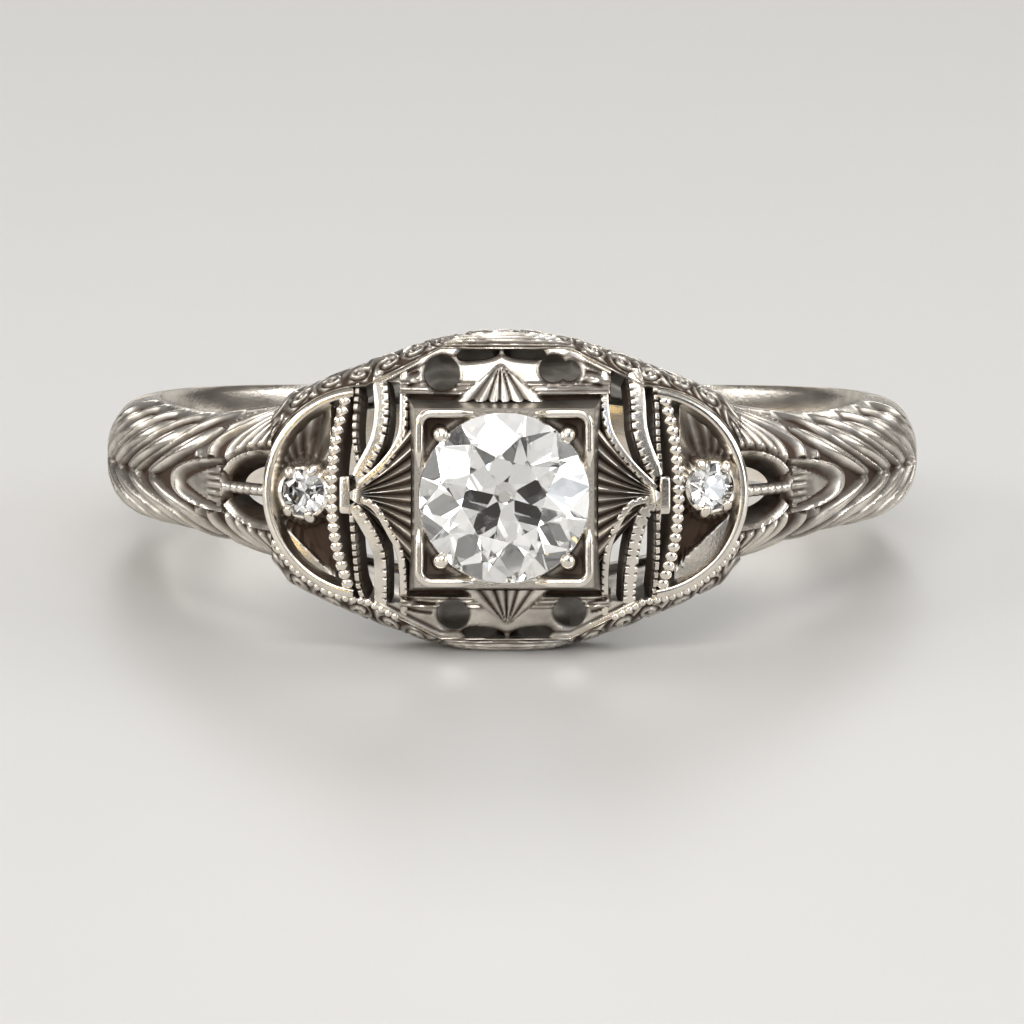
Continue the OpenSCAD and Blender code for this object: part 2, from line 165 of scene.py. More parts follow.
class StageSettings(bpy.types.PropertyGroup):
    """The floor, the lights and the camera."""

    azimuth: FloatProperty(name="Azimuth", description="Camera's turn round the ring",
                           default=math.radians(0.83), subtype="ANGLE")
    elevation: FloatProperty(name="Elevation", description="Camera's height over the ring's plane",
                             default=math.radians(5.0), subtype="ANGLE")
    distance: FloatProperty(name="Distance", description="Camera's distance", default=0.30,
                            unit="LENGTH")
    field: FloatProperty(name="Field", description="Width of the view at the ring",
                         default=0.02466, unit="LENGTH")
    aim_drop: FloatProperty(name="Aim", description="How far under the ring's middle the camera aims",
                            default=0.0014, unit="LENGTH")
    floor_colour: FloatVectorProperty(name="Floor", description="Colour of the floor",
                                      default=(0.57, 0.563, 0.55), subtype="COLOR", min=0, max=1)
    lamp_power: FloatProperty(name="Lamp power", description="Power of the main soft lamp",
                              default=0.37, unit="POWER")


def sizes():
    """The scene's own sizes, which the panel shows."""
    return bpy.context.scene.ring_sizes


def finishes():
    """The scene's own colours and finishes."""
    return bpy.context.scene.ring_finishes


def stage_settings():
    """The scene's own settings of the floor, the lamps and the camera."""
    return bpy.context.scene.ring_stage


# ---------------------------------------------------------------------------------------------
# Curves and surfaces


def hand_of(side):
    """The name of a side: 1 is the right and -1 the left."""
    return "right" if side > 0 else "left"


def bank_of(side):
    """The name of a long side of the head: 1 is the north (+Z) and -1 the south."""
    return "north" if side > 0 else "south"


def smooth(low, high, value):
    """0 below low, 1 above high, and a cubic curve in between."""
    t = np.clip((value - low) / (high - low), 0, 1)
    return t * t * (3 - 2 * t)


def bump(value, width):
    """A round ridge of height 1 over value 0, which dies away at about twice the width."""
    return np.exp(-((value / width) ** 2))


def unit(vectors):
    """Each vector over its own length."""
    return vectors / np.maximum(np.linalg.norm(vectors, axis=-1, keepdims=True), 1e-9)


def flowing(points, count):
    """A Catmull-Rom curve through the points, at count places evenly spaced along its length."""
    p = np.asarray(points, float)
    p = np.vstack([2 * p[0] - p[1], p, 2 * p[-1] - p[-2]])
    a, b, c, d = (p[k : len(p) - 3 + k, None] for k in range(4))
    t = np.linspace(0, 1, 40, endpoint=False)[None, :, None]
    curve = 0.5 * (2 * b + (c - a) * t + (2 * a - 5 * b + 4 * c - d) * t**2
                   + (3 * b - a - 3 * c + d) * t**3)
    curve = np.vstack([curve.reshape(-1, p.shape[1]), p[-2]])
    length = np.r_[0, np.cumsum(np.linalg.norm(np.diff(curve, axis=0), axis=1))]
    even = np.linspace(0, length[-1], count)
    return np.stack([np.interp(even, length, curve[:, k]) for k in range(p.shape[1])], -1)


def crown_axis_y():
    """Place along Y of the axis that the crown bends round."""
    return SETTING_Y + sizes().crown_drop + sizes().crown_bend


def crown_point(x, z, lift=0.0):
    """The crown over the place (x, z): a ring of round section about an axis along Z.

    y is the axis's place, less the root of (ring radius + root of (tube radius squared - z
    squared)) squared - x squared. lift makes the tube thicker."""
    s = sizes()
    tube_r = np.sqrt(np.maximum((s.cross_bend + lift) ** 2 - z**2, 0.01))
    ring_r = s.crown_bend - s.cross_bend + tube_r
    y = crown_axis_y() - np.sqrt(np.maximum(ring_r**2 - x**2, 0.01))
    return np.stack([x + 0 * y, y, z + 0 * y], -1)


def crown_up(points):
    """The crown's outward direction: from the middle of the tube's section to the point."""
    axis_y = crown_axis_y()
    out = unit(points * [1, 1, 0] - [0, axis_y, 0])
    middle = out * (sizes().crown_bend - sizes().cross_bend) + [0, axis_y, 0]
    return unit(points - middle)


def edge_half(x, full=HEAD_HALF, neck=None):
    """Half width of the head at x: the neck's, plus the rest times (1 - (x / reach)^2)^1.5."""
    s = sizes()
    neck = s.neck_half if neck is None else neck
    return neck + (full - neck) * np.maximum(1 - (x / s.head_reach) ** 2, 0) ** 1.5


def border_half(x):
    """Where the flat of the crown ends at x: inside the edge in the middle, then a straight cut
    down to the round rim of the side setting, and its circle from there on."""
    out = abs(x)
    rim = np.sqrt(np.maximum(RIM_R**2 - (out - RIM_X) ** 2, 0))
    middle = edge_half(x) - sizes().edge_band
    cut = np.interp(out, CUT_X, CUT_Z)
    return np.where(out > CUT_X[-1], rim, np.minimum(middle, cut))


def faces_of(n, k, ends=True, loop=False):
    """Faces of a tube of n rings of k points, with its two ends closed or its rings in a loop."""
    index = np.arange(n * k).reshape(n, k)
    if loop:
        index = np.vstack([index, index[:1]])
    a, b = index[:-1], index[1:]
    quads = np.stack([a, np.roll(a, -1, 1), np.roll(b, -1, 1), b], -1).reshape(-1, 4).tolist()
    if ends and not loop:
        quads += [index[0][::-1].tolist(), index[-1].tolist()]
    return quads


def tube(rings, recess=0.0, loop=False):
    """A closed solid through rings of points, an array of (ring, point, 3)."""
    n, k = rings.shape[:2]
    recess = np.broadcast_to(recess, (n, k)).ravel()
    return rings.reshape(-1, 3), faces_of(n, k, loop=loop), recess


def carry(path, up, outline, recess=0.0, loop=False):
    """A solid: the closed outline (side, up), which may change on its way, carried along path."""
    if loop:
        along = unit(np.roll(path, -1, 0) - np.roll(path, 1, 0))
    else:
        along = unit(np.gradient(path, axis=0))
    side = unit(np.cross(along, up))
    up = np.cross(side, along)
    rings = path[:, None] + side[:, None] * outline[..., :1] + up[:, None] * outline[..., 1:]
    return tube(rings, recess, loop)


def pierced(outer, inner, field, u, v, recess, back=0.7):
    """A solid sheet over the grid u by v that is cut away where field is below zero.

    Grid points close to the line where field is zero are moved onto it, down the field's
    slope, so that an opening's outline is smooth. The outer and inner faces share the grid, and
    a wall joins them round every opening and along the sheet's edge. back is the inner face's
    recess: painted shade on the sheet's underside."""
    # Most that a point may move, as a share of the grid's step, and how often it is moved.
    pull, rounds = 0.62, 3
    grid_u, grid_v = np.meshgrid(u, v, indexing="ij")
    du, dv = u[1] - u[0], v[1] - v[0]
    at_u, at_v = grid_u.copy(), grid_v.copy()
    tiny_u, tiny_v = du * 0.05, dv * 0.05
    for _ in range(rounds):
        f = field(at_u, at_v)
        fu = (field(at_u + tiny_u, at_v) - field(at_u - tiny_u, at_v)) / (2 * tiny_u) * du
        fv = (field(at_u, at_v + tiny_v) - field(at_u, at_v - tiny_v)) / (2 * tiny_v) * dv
        slope = np.maximum(fu**2 + fv**2, 1e-12)
        new_u = np.clip(at_u - f * fu / slope * du, u[0], u[-1])
        new_v = np.clip(at_v - f * fv / slope * dv, v[0], v[-1])
        near = (abs(new_u - grid_u) < pull * du) & (abs(new_v - grid_v) < pull * dv)
        at_u, at_v = np.where(near, new_u, at_u), np.where(near, new_v, at_v)
    f = np.where(near, 0.0, field(at_u, at_v))
    keep = f >= 0
    index = np.arange(f.size).reshape(f.shape)
    corners = np.stack([index[:-1, :-1], index[1:, :-1], index[1:, 1:], index[:-1, 1:]], -1)
    corners = corners.reshape(-1, 4)
    kept = keep.ravel()[corners]

    def inside(rows):
        """The faces whose middle isn't in an opening."""
        mid = field(at_u.ravel()[rows].mean(1), at_v.ravel()[rows].mean(1))
        return rows[mid > 0]

    quads = inside(corners[kept.all(1)])
    part = corners[kept.sum(1) == 3]
    gap = np.argmin(keep.ravel()[part], axis=1) if len(part) else np.zeros(0, int)
    order = (gap[:, None] + [1, 2, 3]) % 4
    triangles = inside(np.take_along_axis(part, order, 1)) if len(part) else part[:, :3]
    edges = np.vstack([np.stack([q, np.roll(q, -1, 1)], -1).reshape(-1, 2)
                       for q in (quads, triangles)])
    key = edges[:, 0] * f.size + edges[:, 1]
    reverse = edges[:, 1] * f.size + edges[:, 0]
    rim = edges[~np.isin(key, reverse)]
    walls = np.stack([rim[:, 1], rim[:, 0], rim[:, 0] + f.size, rim[:, 1] + f.size], -1)
    faces = [quads, quads[:, ::-1] + f.size, walls, triangles, triangles[:, ::-1] + f.size]
    points = np.vstack([outer(at_u, at_v).reshape(-1, 3), inner(at_u, at_v).reshape(-1, 3)])
    tone = np.r_[recess(at_u, at_v).ravel(), (back + 0 * at_u).ravel()]
    used = np.unique(np.concatenate([rows.ravel() for rows in faces]))
    new = np.zeros(len(points), int)
    new[used] = np.arange(len(used))
    return points[used], [row for rows in faces for row in new[rows].tolist()], tone[used]


def grains(centres, side, along, up, radii, recess=0.0):
    """Small balls: a ring of 12 points at 8 heights round every centre, stretched by the radii
    (side, along, up)."""
    lat = np.radians(np.linspace(8, 172, 8))[:, None]
    lon = np.radians(np.arange(12) * 30)[None]
    ball = np.stack([np.sin(lat) * np.cos(lon), np.sin(lat) * np.sin(lon),
                     np.cos(lat) + 0 * lon], -1) * radii
    axes = np.stack([side, along, up], -2)
    points = centres[:, None, None] + np.einsum("rki,nij->nrkj", ball, axes)
    count = ball.shape[0] * ball.shape[1]
    one = faces_of(*ball.shape[:2])
    faces = [[i + n * count for i in face] for n in range(len(centres)) for face in one]
    points = points.reshape(-1, 3)
    return points, faces, np.full(len(points), float(recess))


def volume(points, faces):
    """The volume that the faces enclose, below zero if they face inwards."""
    first = np.array([f[0] for f in faces for _ in f[2:]])
    second = np.array([i for f in faces for i in f[1:-1]])
    third = np.array([i for f in faces for i in f[2:]])
    return np.einsum("ij,ij->", points[first], np.cross(points[second], points[third])) / 6


def flip(solid, axes):
    """The solid mirrored in the planes that axes marks with -1."""
    points, faces, recess = solid
    return points * axes, faces, recess


def make(name, solids, material, nodes, sharp=38.0):
    """Joins the solids into one piece that stands for the CAD nodes. Edges sharper than sharp
    degrees stay edges, and a piece whose sharp is 0 has flat facets."""
    all_points, all_faces, all_recess, start = [], [], [], 0
    for points, faces, recess in solids:
        if volume(points, faces) < 0:
            faces = [face[::-1] for face in faces]
        all_points.append(points)
        all_recess.append(recess)
        all_faces += [[i + start for i in face] for face in faces]
        start += len(points)
    mesh = bpy.data.meshes.new(name)
    mesh.from_pydata(np.vstack(all_points) * MM, [], all_faces)
    # The recess attribute is painted shade and tarnish: 0 on bare metal, 1 in the deepest hollows and
    # undersides.
    mesh.attributes.new("recess", "FLOAT", "POINT").data.foreach_set(
        "value", np.concatenate(all_recess).astype(np.float32))
    if sharp > 0:
        mesh.shade_smooth()
        mesh.set_sharp_from_angle(angle=math.radians(sharp))
    mesh.materials.append(material)
    piece = bpy.data.objects.new(name, mesh)
    bpy.context.scene.collection.objects.link(piece)
    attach(piece, "root")
    if nodes:
        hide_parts(*nodes)
    return piece


# ---------------------------------------------------------------------------------------------
# Materials


def link(tree, a, out, b, into):
    """Joins one node's output to another's input."""
    tree.links.new(a.outputs[out], b.inputs[into])


def new_material(name):
    """An empty material with its main shader and its output."""
    material = bpy.data.materials.get(name) or bpy.data.materials.new(name)
    material.use_nodes = True
    tree = material.node_tree
    tree.nodes.clear()
    shader = tree.nodes.new("ShaderNodeBsdfPrincipled")
    out = tree.nodes.new("ShaderNodeOutputMaterial")
    link(tree, shader, "BSDF", out, "Surface")
    return material, tree, shader


def white_gold(name, polish, wear):
    """Polished metal that darkens and dulls with the recess attribute, which holds painted shade
    and tarnish, with fine scratches.
    """
    f = finishes()
    material, tree, shader = new_material(name)
    place = tree.nodes.new("ShaderNodeTexCoord")
    # The patterns' scales are per millimetre.
    scale = tree.nodes.new("ShaderNodeMapping")
    scale.inputs["Scale"].default_value = [1 / MM] * 3
    link(tree, place, "Object", scale, "Vector")
    cloud = tree.nodes.new("ShaderNodeTexNoise")
    cloud.inputs["Scale"].default_value = 1.6
    cloud.inputs["Detail"].default_value = 5.0
    link(tree, scale, "Vector", cloud, "Vector")
    scratch = tree.nodes.new("ShaderNodeTexNoise")
    scratch.inputs["Scale"].default_value = 14.0
    scratch.inputs["Detail"].default_value = 3.0
    link(tree, scale, "Vector", scratch, "Vector")
    deep = tree.nodes.new("ShaderNodeAttribute")
    deep.attribute_name = "recess"
    # Painted shade and tarnish: the recess, made uneven by the cloud.
    uneven = tree.nodes.new("ShaderNodeMapRange")
    uneven.inputs["From Min"].default_value = 0.3
    uneven.inputs["From Max"].default_value = 0.7
    uneven.inputs["To Min"].default_value = -0.10 * wear
    uneven.inputs["To Max"].default_value = 0.22 * wear
    link(tree, cloud, "Fac", uneven, "Value")
    total = tree.nodes.new("ShaderNodeMath")
    total.operation = "ADD"
    total.use_clamp = True
    link(tree, deep, "Fac", total, 0)
    link(tree, uneven, "Result", total, 1)
    # The ramp runs from the metal's own colour to the shade and tarnish colour: painted shade in the
    # recesses.
    colour = tree.nodes.new("ShaderNodeValToRGB")
    ramp = colour.color_ramp
    ramp.elements[0].color = (*f.gold, 1)
    ramp.elements[1].position = 0.88
    ramp.elements[1].color = (*f.shade_and_tarnish, 1)
    middle = ramp.elements.new(0.42)
    middle.color = (*[0.34 * a + 0.20 * b for a, b in zip(f.gold, f.shade_and_tarnish)], 1)
    link(tree, total, "Value", colour, "Fac")
    link(tree, colour, "Color", shader, "Base Color")
    rough = tree.nodes.new("ShaderNodeMapRange")
    rough.inputs["To Min"].default_value = polish
    rough.inputs["To Max"].default_value = 0.60
    link(tree, total, "Value", rough, "Value")
    link(tree, rough, "Result", shader, "Roughness")
    # Where the painted shade and tarnish are deep, the metal is dull like an oxide and no longer
    # reflects like metal.
    bare = tree.nodes.new("ShaderNodeMapRange")
    bare.inputs["From Min"].default_value = 0.40
    bare.inputs["To Min"].default_value = 1.0
    bare.inputs["To Max"].default_value = 0.25
    link(tree, total, "Value", bare, "Value")
    link(tree, bare, "Result", shader, "Metallic")
    dent = tree.nodes.new("ShaderNodeBump")
    dent.inputs["Strength"].default_value = 0.22 * wear
    dent.inputs["Distance"].default_value = 0.00002
    link(tree, scratch, "Fac", dent, "Height")
    link(tree, dent, "Normal", shader, "Normal")
    return material


def clear_stone(name, tint):
    """Clear stone of high refraction, with a faint cloud of haze in its roughness."""
    material, tree, shader = new_material(name)
    shader.inputs["Base Color"].default_value = (*tint, 1)
    shader.inputs["Transmission Weight"].default_value = 1.0
    shader.inputs["IOR"].default_value = finishes().stone_ior
    place = tree.nodes.new("ShaderNodeTexCoord")
    haze = tree.nodes.new("ShaderNodeTexNoise")
    haze.inputs["Scale"].default_value = 900.0
    link(tree, place, "Object", haze, "Vector")
    rough = tree.nodes.new("ShaderNodeMapRange")
    rough.inputs["To Min"].default_value = 0.0
    rough.inputs["To Max"].default_value = 0.012
    link(tree, haze, "Fac", rough, "Value")
    link(tree, rough, "Result", shader, "Roughness")
    return material


def polished():
    """The finish of plain and raised parts, with light wear."""
    return bpy.data.materials.get("polished_gold") or white_gold(
        "polished_gold", finishes().polish, 0.6)


def chased():
    """The finish of engraved parts: a little duller and more worn."""
    return bpy.data.materials.get("chased_gold") or white_gold(
        "chased_gold", finishes().polish + 0.05, 1.0)


# ---------------------------------------------------------------------------------------------
# The band: shank and shoulders


def shoulder_arc():
    """Centre and radius of the arc that a shoulder's outer side follows from neck to side."""
    neck_y = crown_point(np.float64(NECK_X), np.float64(0.0))[1]
    radius = ((SIDE_R - NECK_X) ** 2 + neck_y**2) / (2 * (SIDE_R - NECK_X))
    return SIDE_R - radius, radius


def outer_radius(turn):
    """Distance of the band's outside from the finger's axis at a turn from -Y, in radians: the
    shoulder's arc under the crown in front, and an arc through the sides and the back behind."""
    centre_x, radius = shoulder_arc()
    along = np.sin(turn) * centre_x
    arc = along + np.sqrt(along**2 - centre_x**2 + radius**2)
    axis = -crown_axis_y()
    crown = axis * np.cos(turn) + np.sqrt(sizes().crown_bend**2 - (axis * np.sin(turn)) ** 2)
    arc = np.minimum(arc, crown)
    shift = (SIDE_R**2 - BACK_Y**2) / (2 * BACK_Y)
    whole = BACK_Y + shift
    along = np.cos(turn) * shift
    ring = along + np.sqrt(along**2 - shift**2 + whole**2)
    return np.where(turn < math.pi / 2, arc, ring)


def band_half(turn):
    """Half width of the band at a turn from the head, in radians: it widens towards the head,
    by a power of the turn, and narrows a little towards the back."""
    flare, flare_end, flare_span = 0.63, 57, 28
    degrees = np.degrees(turn)
    front = SIDE_HALF + flare * np.maximum((flare_end - degrees) / flare_span, 0) ** 1.5
    return front - (SIDE_HALF - BACK_HALF) * smooth(90, 180, degrees)


def section(across, power):
    """A rounded half section: (cos, sin) of across, each raised to 2 / power."""
    c, s = np.cos(across), np.maximum(np.sin(across), 0)
    return np.sign(c) * abs(c) ** (2 / power), s ** (2 / power)


def band_point(turn, radius, z):
    """The point at a turn from the head, a distance from the finger's axis and a height z."""
    return np.stack([radius * np.sin(turn), -radius * np.cos(turn), z + 0 * turn], -1)


def make_shank():
    """The band's section loop carried round the back, from side to side. The inside bends away
    from the finger by comfort times (distance from the middle line)^2.5."""
    turn = np.linspace(SHANK_START, 2 * math.pi - SHANK_START, 260)[:, None]
    folded = np.minimum(turn, 2 * math.pi - turn)
    across = np.linspace(0, math.pi, 34)[None]
    thick = outer_radius(folded) - FINGER_R
    half = band_half(folded)
    c, s = section(across, BAND_POWER)
    comfort = 0.13
    outer_r, outer_z = FINGER_R + comfort + (thick - comfort) * s, half * c
    inside = np.linspace(-1, 1, 18)[None]
    inner_r = FINGER_R + comfort * abs(inside) ** 2.5
    inner_z = half * 0.985 * inside
    radius = np.hstack([outer_r, inner_r + 0 * turn])
    rings = band_point(turn, radius, np.hstack([outer_z, inner_z]))
    make("shank_band", [tube(rings)], polished(), ["shank"])


def shoulder_length(turn):
    """Distance along the shoulder's outer arc from the neck, for a turn from the head."""
    centre_x, radius = shoulder_arc()
    r = outer_radius(turn)
    bend = np.arctan2(r * np.cos(turn), r * np.sin(turn) - centre_x)
    neck = math.acos((NECK_X - centre_x) / radius)
    return radius * (neck - bend)


# The two pierced arches of a shoulder: length from the neck, half width of the bar between them,
# and height from the middle line.
ARCH_LENGTH = 1.25
ARCH_HALF_BAR = 0.11
ARCH_HEIGHT = 0.80
# Spacing of the nested flutes round the arches, and how far out from the neck they reach.
FLUTE_PITCH, FLUTE_END = 0.37, 1.68
# The oval hollow with its leaf: middle, half length, half width and first visible place.
OVAL_AT, OVAL_LONG, OVAL_WIDE, OVAL_START = 1.5, 2.25, 0.60, 1.55
# Where the pairs of long leaves begin, from the neck, and their spacing along the shoulder.
LEAF_START, LEAF_PITCH = 4.92, 1.62


def arch_round(s, q):
    """1 on the outline of the two arches together, a half oval from the neck, and less inside."""
    return np.hypot(np.maximum(s, 0) / ARCH_LENGTH, q / ARCH_HEIGHT)


def arch_gap(s, q):
    """Above zero inside a pierced arch: the inside of the half oval without the bar between."""
    return np.minimum((1 - arch_round(s, q)) * ARCH_HEIGHT, abs(q) - ARCH_HALF_BAR)


def leaf_relief(s, q):
    """Height and painted shade, with tarnish, of the chasing at distance s from the neck and q
    from the middle.

    A raised line follows the arches. Nested flutes curve away from it to both edges, and two
    lobes follow them. Behind the arches a veined leaf lies in an oval hollow with a raised
    outline. From there on, pairs of long leaves point away from the head: each is a puffed lobe
    with a middle groove, and a bar follows it. Heights are worked out from -1 (ground) to 0."""
    side = abs(q)
    depth = sizes().leaf_relief
    around = arch_round(s, q)
    line = 1.40 * bump(around - 1.15, 0.10)
    nest = (s + 0.5) * (1 + 0.6 * (side - 0.9) ** 2) - 0.5
    flute = abs(np.cos(math.pi * nest / FLUTE_PITCH)) ** 0.75
    flutes = -1.0 + flute * smooth(1.32, 1.50, around)
    # The long leaves slant: a place out from the middle line lies further along.
    along = s + 2.45 * (0.9 * np.tanh(side / 0.9) + 0.12 * side)
    second = bump(nest - 2.90, 0.26) * (0.8 + 0.2 * smooth(0.6, 0.9, side))
    lobes = bump(nest - 2.28, 0.20) + second
    lobes = -1.0 + lobes * smooth(LEAF_START, LEAF_START - 0.35, along)
    height = np.where(nest < FLUTE_END, np.maximum(flutes, line - 1), lobes)
    # The oval hollow with its leaf.
    oval = np.hypot((s - OVAL_AT) / OVAL_LONG, q / OVAL_WIDE)
    outline = bump(oval - 1.0, 0.14)
    half = 0.48 * np.clip((3.25 - s) / 1.6, 0, 1) ** 0.8
    body = smooth(0.03, -0.03, side - half)
    veins = 0.22 * np.cos(2 * math.pi * q / 0.15) * smooth(2.5, 1.9, s)
    leaf = -1.0 + body * (0.55 + 0.35 * (side / 0.45) ** 2 + veins)
    hollow = np.maximum(leaf, outline - 1)
    in_hollow = (oval < 1.17) & (s > OVAL_START)
    height = np.where(in_hollow, hollow, height)
    # Pairs of long leaves, curved so that they lie across the band at its edges.
    t = (along - LEAF_START) / LEAF_PITCH
    t = t - np.floor(t)
    fat = 0.66 * np.sin(math.pi * np.clip((side + 0.16) / 1.75, 0, 1)) ** 0.5 + 0.02
    wide = np.sin(math.pi * np.clip((t - 0.02) / fat, 0, 1)) ** 0.55
    groove = 0.34 * bump(t - 0.62 * fat, 0.045)
    bars = bump(t - 0.85, 0.075)
    spine = 0.6 * bump(side, 0.06)
    leaves = -1.0 + np.maximum(wide - groove, bars * 0.95) - spine * (1 - t)
    height = np.where((along > LEAF_START) & ~in_hollow, leaves, height)
    # The beaded bar between the arches.
    bar = smooth(ARCH_HALF_BAR + 0.05, ARCH_HALF_BAR, side) * smooth(1.45, 1.25, s)
    beads = -0.25 + 0.25 * abs(np.cos(math.pi * s / 0.26)) ** 0.6 - 0.5 * (side / ARCH_HALF_BAR) ** 4
    height = np.maximum(height, -1.05) * (1 - bar) + beads * bar
    # The lower the ground, the darker: painted shade and tarnish in the chasing's hollows.
    dark = 0.95 * np.clip(-height, 0, 1) ** 1.3
    return height * depth, dark


def make_shoulder(side):
    """The chased sheet of a shoulder, pierced by two arches and hollow behind them.

    It is the band's outer surface, raised by the chasing's height, over a grid of the turn from
    the head by the angle across the band. Its start sinks under the side setting."""
    start, hidden = math.radians(24.2), math.radians(27.0)
    # How deep the start sinks, and how much more it does inside the setting's rim.
    start_sink, rim_sink = 0.30, 0.60
    # Turns at which the hollow behind the arches ends, and thickness of the metal over it.
    hollow_end, hollow_full, metal = math.radians(54), math.radians(46), 0.75
    turn = np.linspace(start, SHANK_START, 376)
    across = np.linspace(0, math.pi, 124)

    def measures(t, a):
        """Distance along the shoulder from the neck, and across from the middle line."""
        s = shoulder_length(np.minimum(t, math.pi / 2 - 1e-6))
        s = s + np.maximum(t - math.pi / 2, 0) * outer_radius(t)
        q = np.cos(a) * (1.15 * band_half(t)) * (1 + 0.12 * np.cos(a) ** 2)
        return s, q

    def fade(s, q):
        """1 on the chased part, falling to 0 where the plain shank takes over."""
        return smooth(11.5, 10.9, s + 0.7 * abs(q))

    def outer(t, a):
        """The band's rounded section at each turn, raised by the chasing and sunk at its start."""
        s, q = measures(t, a)
        height, _ = leaf_relief(s, q)
        c, sn = section(a, BAND_POWER)
        thick = outer_radius(t) - FINGER_R
        rise = height * smooth(0, 0.35, sn) * fade(s, q)
        sink = start_sink * smooth(hidden, start, t)
        z = (band_half(t) - sink * 0.4) * c + rise * c * 0.8
        from_rim = np.hypot(outer_radius(t) * np.sin(t) - RIM_X, z)
        under_rim = smooth(RIM_R + 0.02, RIM_R - 0.22, from_rim) * (t < hidden + 0.05)
        sink = sink + rim_sink * under_rim
        radius = FINGER_R + np.maximum(thick + rise - sink, 0.05) * sn
        return band_point(t, radius, z)

    def inner(t, a):
        """The finger hole's cylinder, and the hollow behind the arches."""
        _, sn = section(a, BAND_POWER)
        hollow = smooth(hollow_end, hollow_full, t)
        thick = outer_radius(t) - FINGER_R
        radius = FINGER_R + hollow * np.maximum(thick * sn - metal, 0)
        z = np.cos(a) * (band_half(t) * 0.985 - 0.45 * hollow)
        return band_point(t, radius, z)

    def field(t, a):
        """Below zero inside the arches."""
        return -arch_gap(*measures(t, a))

    def recess(t, a):
        """The chasing's painted shade and tarnish, which fade with it."""
        s, q = measures(t, a)
        return leaf_relief(s, q)[1] * fade(s, q) * smooth(0.05, 0.4, np.sin(a))

    # The inner face's recess: painted shade, light inside the band and darkest in the hollow behind
    # the arches.
    back = 0.08 + 0.7 * smooth(math.radians(58), math.radians(50), turn)[:, None]
    sheet = pierced(outer, inner, field, turn, across, recess, back)
    # An oval grain sits on each side where the arches meet the setting's rim.
    spots = outer(np.full(2, math.radians(28.6)), np.arccos(np.array([-0.72, 0.72])))
    up = unit(unit(spots * [1, 1, 0]) * 0.9 + np.array([[0, 0, -0.4], [0, 0, 0.4]]))
    tangent = unit(np.array([[0.35, 0, 0.9], [0.35, 0, -0.9]]))
    side_way = unit(np.cross(tangent, up))
    ovals = grains(spots + 0.12 * up, side_way, np.cross(up, side_way), up, (0.15, 0.28, 0.22))
    name = hand_of(side)
    solids = [flip(solid, [side, 1, 1]) for solid in (sheet, ovals)]
    make(f"shoulder_chased_{name}", solids, chased(), [f"shoulder_{name}"], sharp=70)


# ---------------------------------------------------------------------------------------------
# The head's sides: rails and galleries


def make_rail(side):
    """A strip carried along the finger hole under one long side of the head. Its section is an
    oval whose sines and cosines are raised to squareness, so that it is nearly square."""
    squareness, half_high, half_wide = 0.4, 0.275, 0.25
    reach = math.asin((NECK_X + 0.25) / (FINGER_R + 0.25))
    turn = np.linspace(-reach, reach, 160)[:, None]
    corner = np.radians(np.arange(0, 360, 15))[None]
    c = np.sign(np.cos(corner)) * abs(np.cos(corner)) ** squareness
    s = np.sign(np.sin(corner)) * abs(np.sin(corner)) ** squareness
    x = (FINGER_R + 0.3) * np.sin(turn)
    foot = edge_half(x, BASE_HALF, sizes().neck_half - 0.05)
    radius = FINGER_R + half_high + half_high * c
    rings = band_point(turn, radius, foot - half_wide + half_wide * s)
    name = bank_of(side)
    # The whole rail takes a recess of 0.35: an even mid tone of painted shade and tarnish under the
    # head.
    solid = flip(tube(rings, 0.35), [1, 1, side])
    make(f"rail_{name}", [solid], chased(), [f"base_rail_{name}"])


def curl(x, y, size):
    """A spiral ridge of the given radius round the origin, with a round eye, from 0 to 1, and
    how far inside its circle a place is. The ridge is the cosine of the angle less distance."""
    distance = np.hypot(x, y)
    angle = np.arctan2(y, x)
    ridge = 0.5 + 0.5 * np.cos(angle - 2 * math.pi * distance / (0.62 * size))
    inside = smooth(1.02 * size, 0.90 * size, distance)
    return np.maximum(ridge**0.8, bump(distance, 0.24 * size)), inside


# Rows of curls on a gallery: distance from the crown's border, a curl's radius, and the row's
# shift along the head as a share of its pitch.
CURL_ROWS = ((0.44, 0.30, 0.0), (1.25, 0.50, 0.5), (2.30, 0.52, 0.0))
# Distances from the crown's border at which the gallery's two border lines run.
TOP_LINE, LOW_LINE = 0.045, 3.35


def scroll_relief(x, d):
    """Height and painted shade, with tarnish, of the gallery's engraving at x, and d down from
    the crown's border.

    A line follows the border. Under it comes a row of small curls, then two rows of larger ones
    in the gaps, of alternate hand, with curved leaf strokes between them all."""
    depth = sizes().scroll_relief
    sway = 0.9 * np.sin(2.6 * d + 1.1 * np.sin(1.3 * x))
    stroke = 0.5 + 0.5 * np.cos(2 * math.pi * (x / 0.30 + sway))
    pattern = 0.9 * stroke**1.3
    for level, size, shift in CURL_ROWS:
        pitch = size * 2.25
        cell = np.round(x / pitch - shift)
        hand = np.where(cell % 2 == 0, 1.0, -1.0)
        ridge, inside = curl((x - (cell + shift) * pitch) * hand, d - level, size)
        pattern = pattern * (1 - inside) + ridge * inside
    # Straight lines replace the curls in the middle, beside the setting.
    lines = 0.5 + 0.5 * np.cos(2 * math.pi * d / 0.13)
    middle = smooth(1.75, 1.25, abs(x) + 0.4 * d) * smooth(0.75, 0.6, d)
    pattern = pattern * (1 - middle) + (0.12 + 0.85 * lines) * middle
    line = np.maximum(bump(d - TOP_LINE, 0.04), bump(d - LOW_LINE, 0.05))
    pattern = pattern * smooth(0.08, 0.16, d) * smooth(3.28, 3.2, d)
    pattern = np.maximum(pattern, line)
    # The pattern's low parts are the darker: painted shade and tarnish in the engraving.
    return depth * (pattern - 0.75), np.clip(1 - pattern, 0, 1) ** 1.3


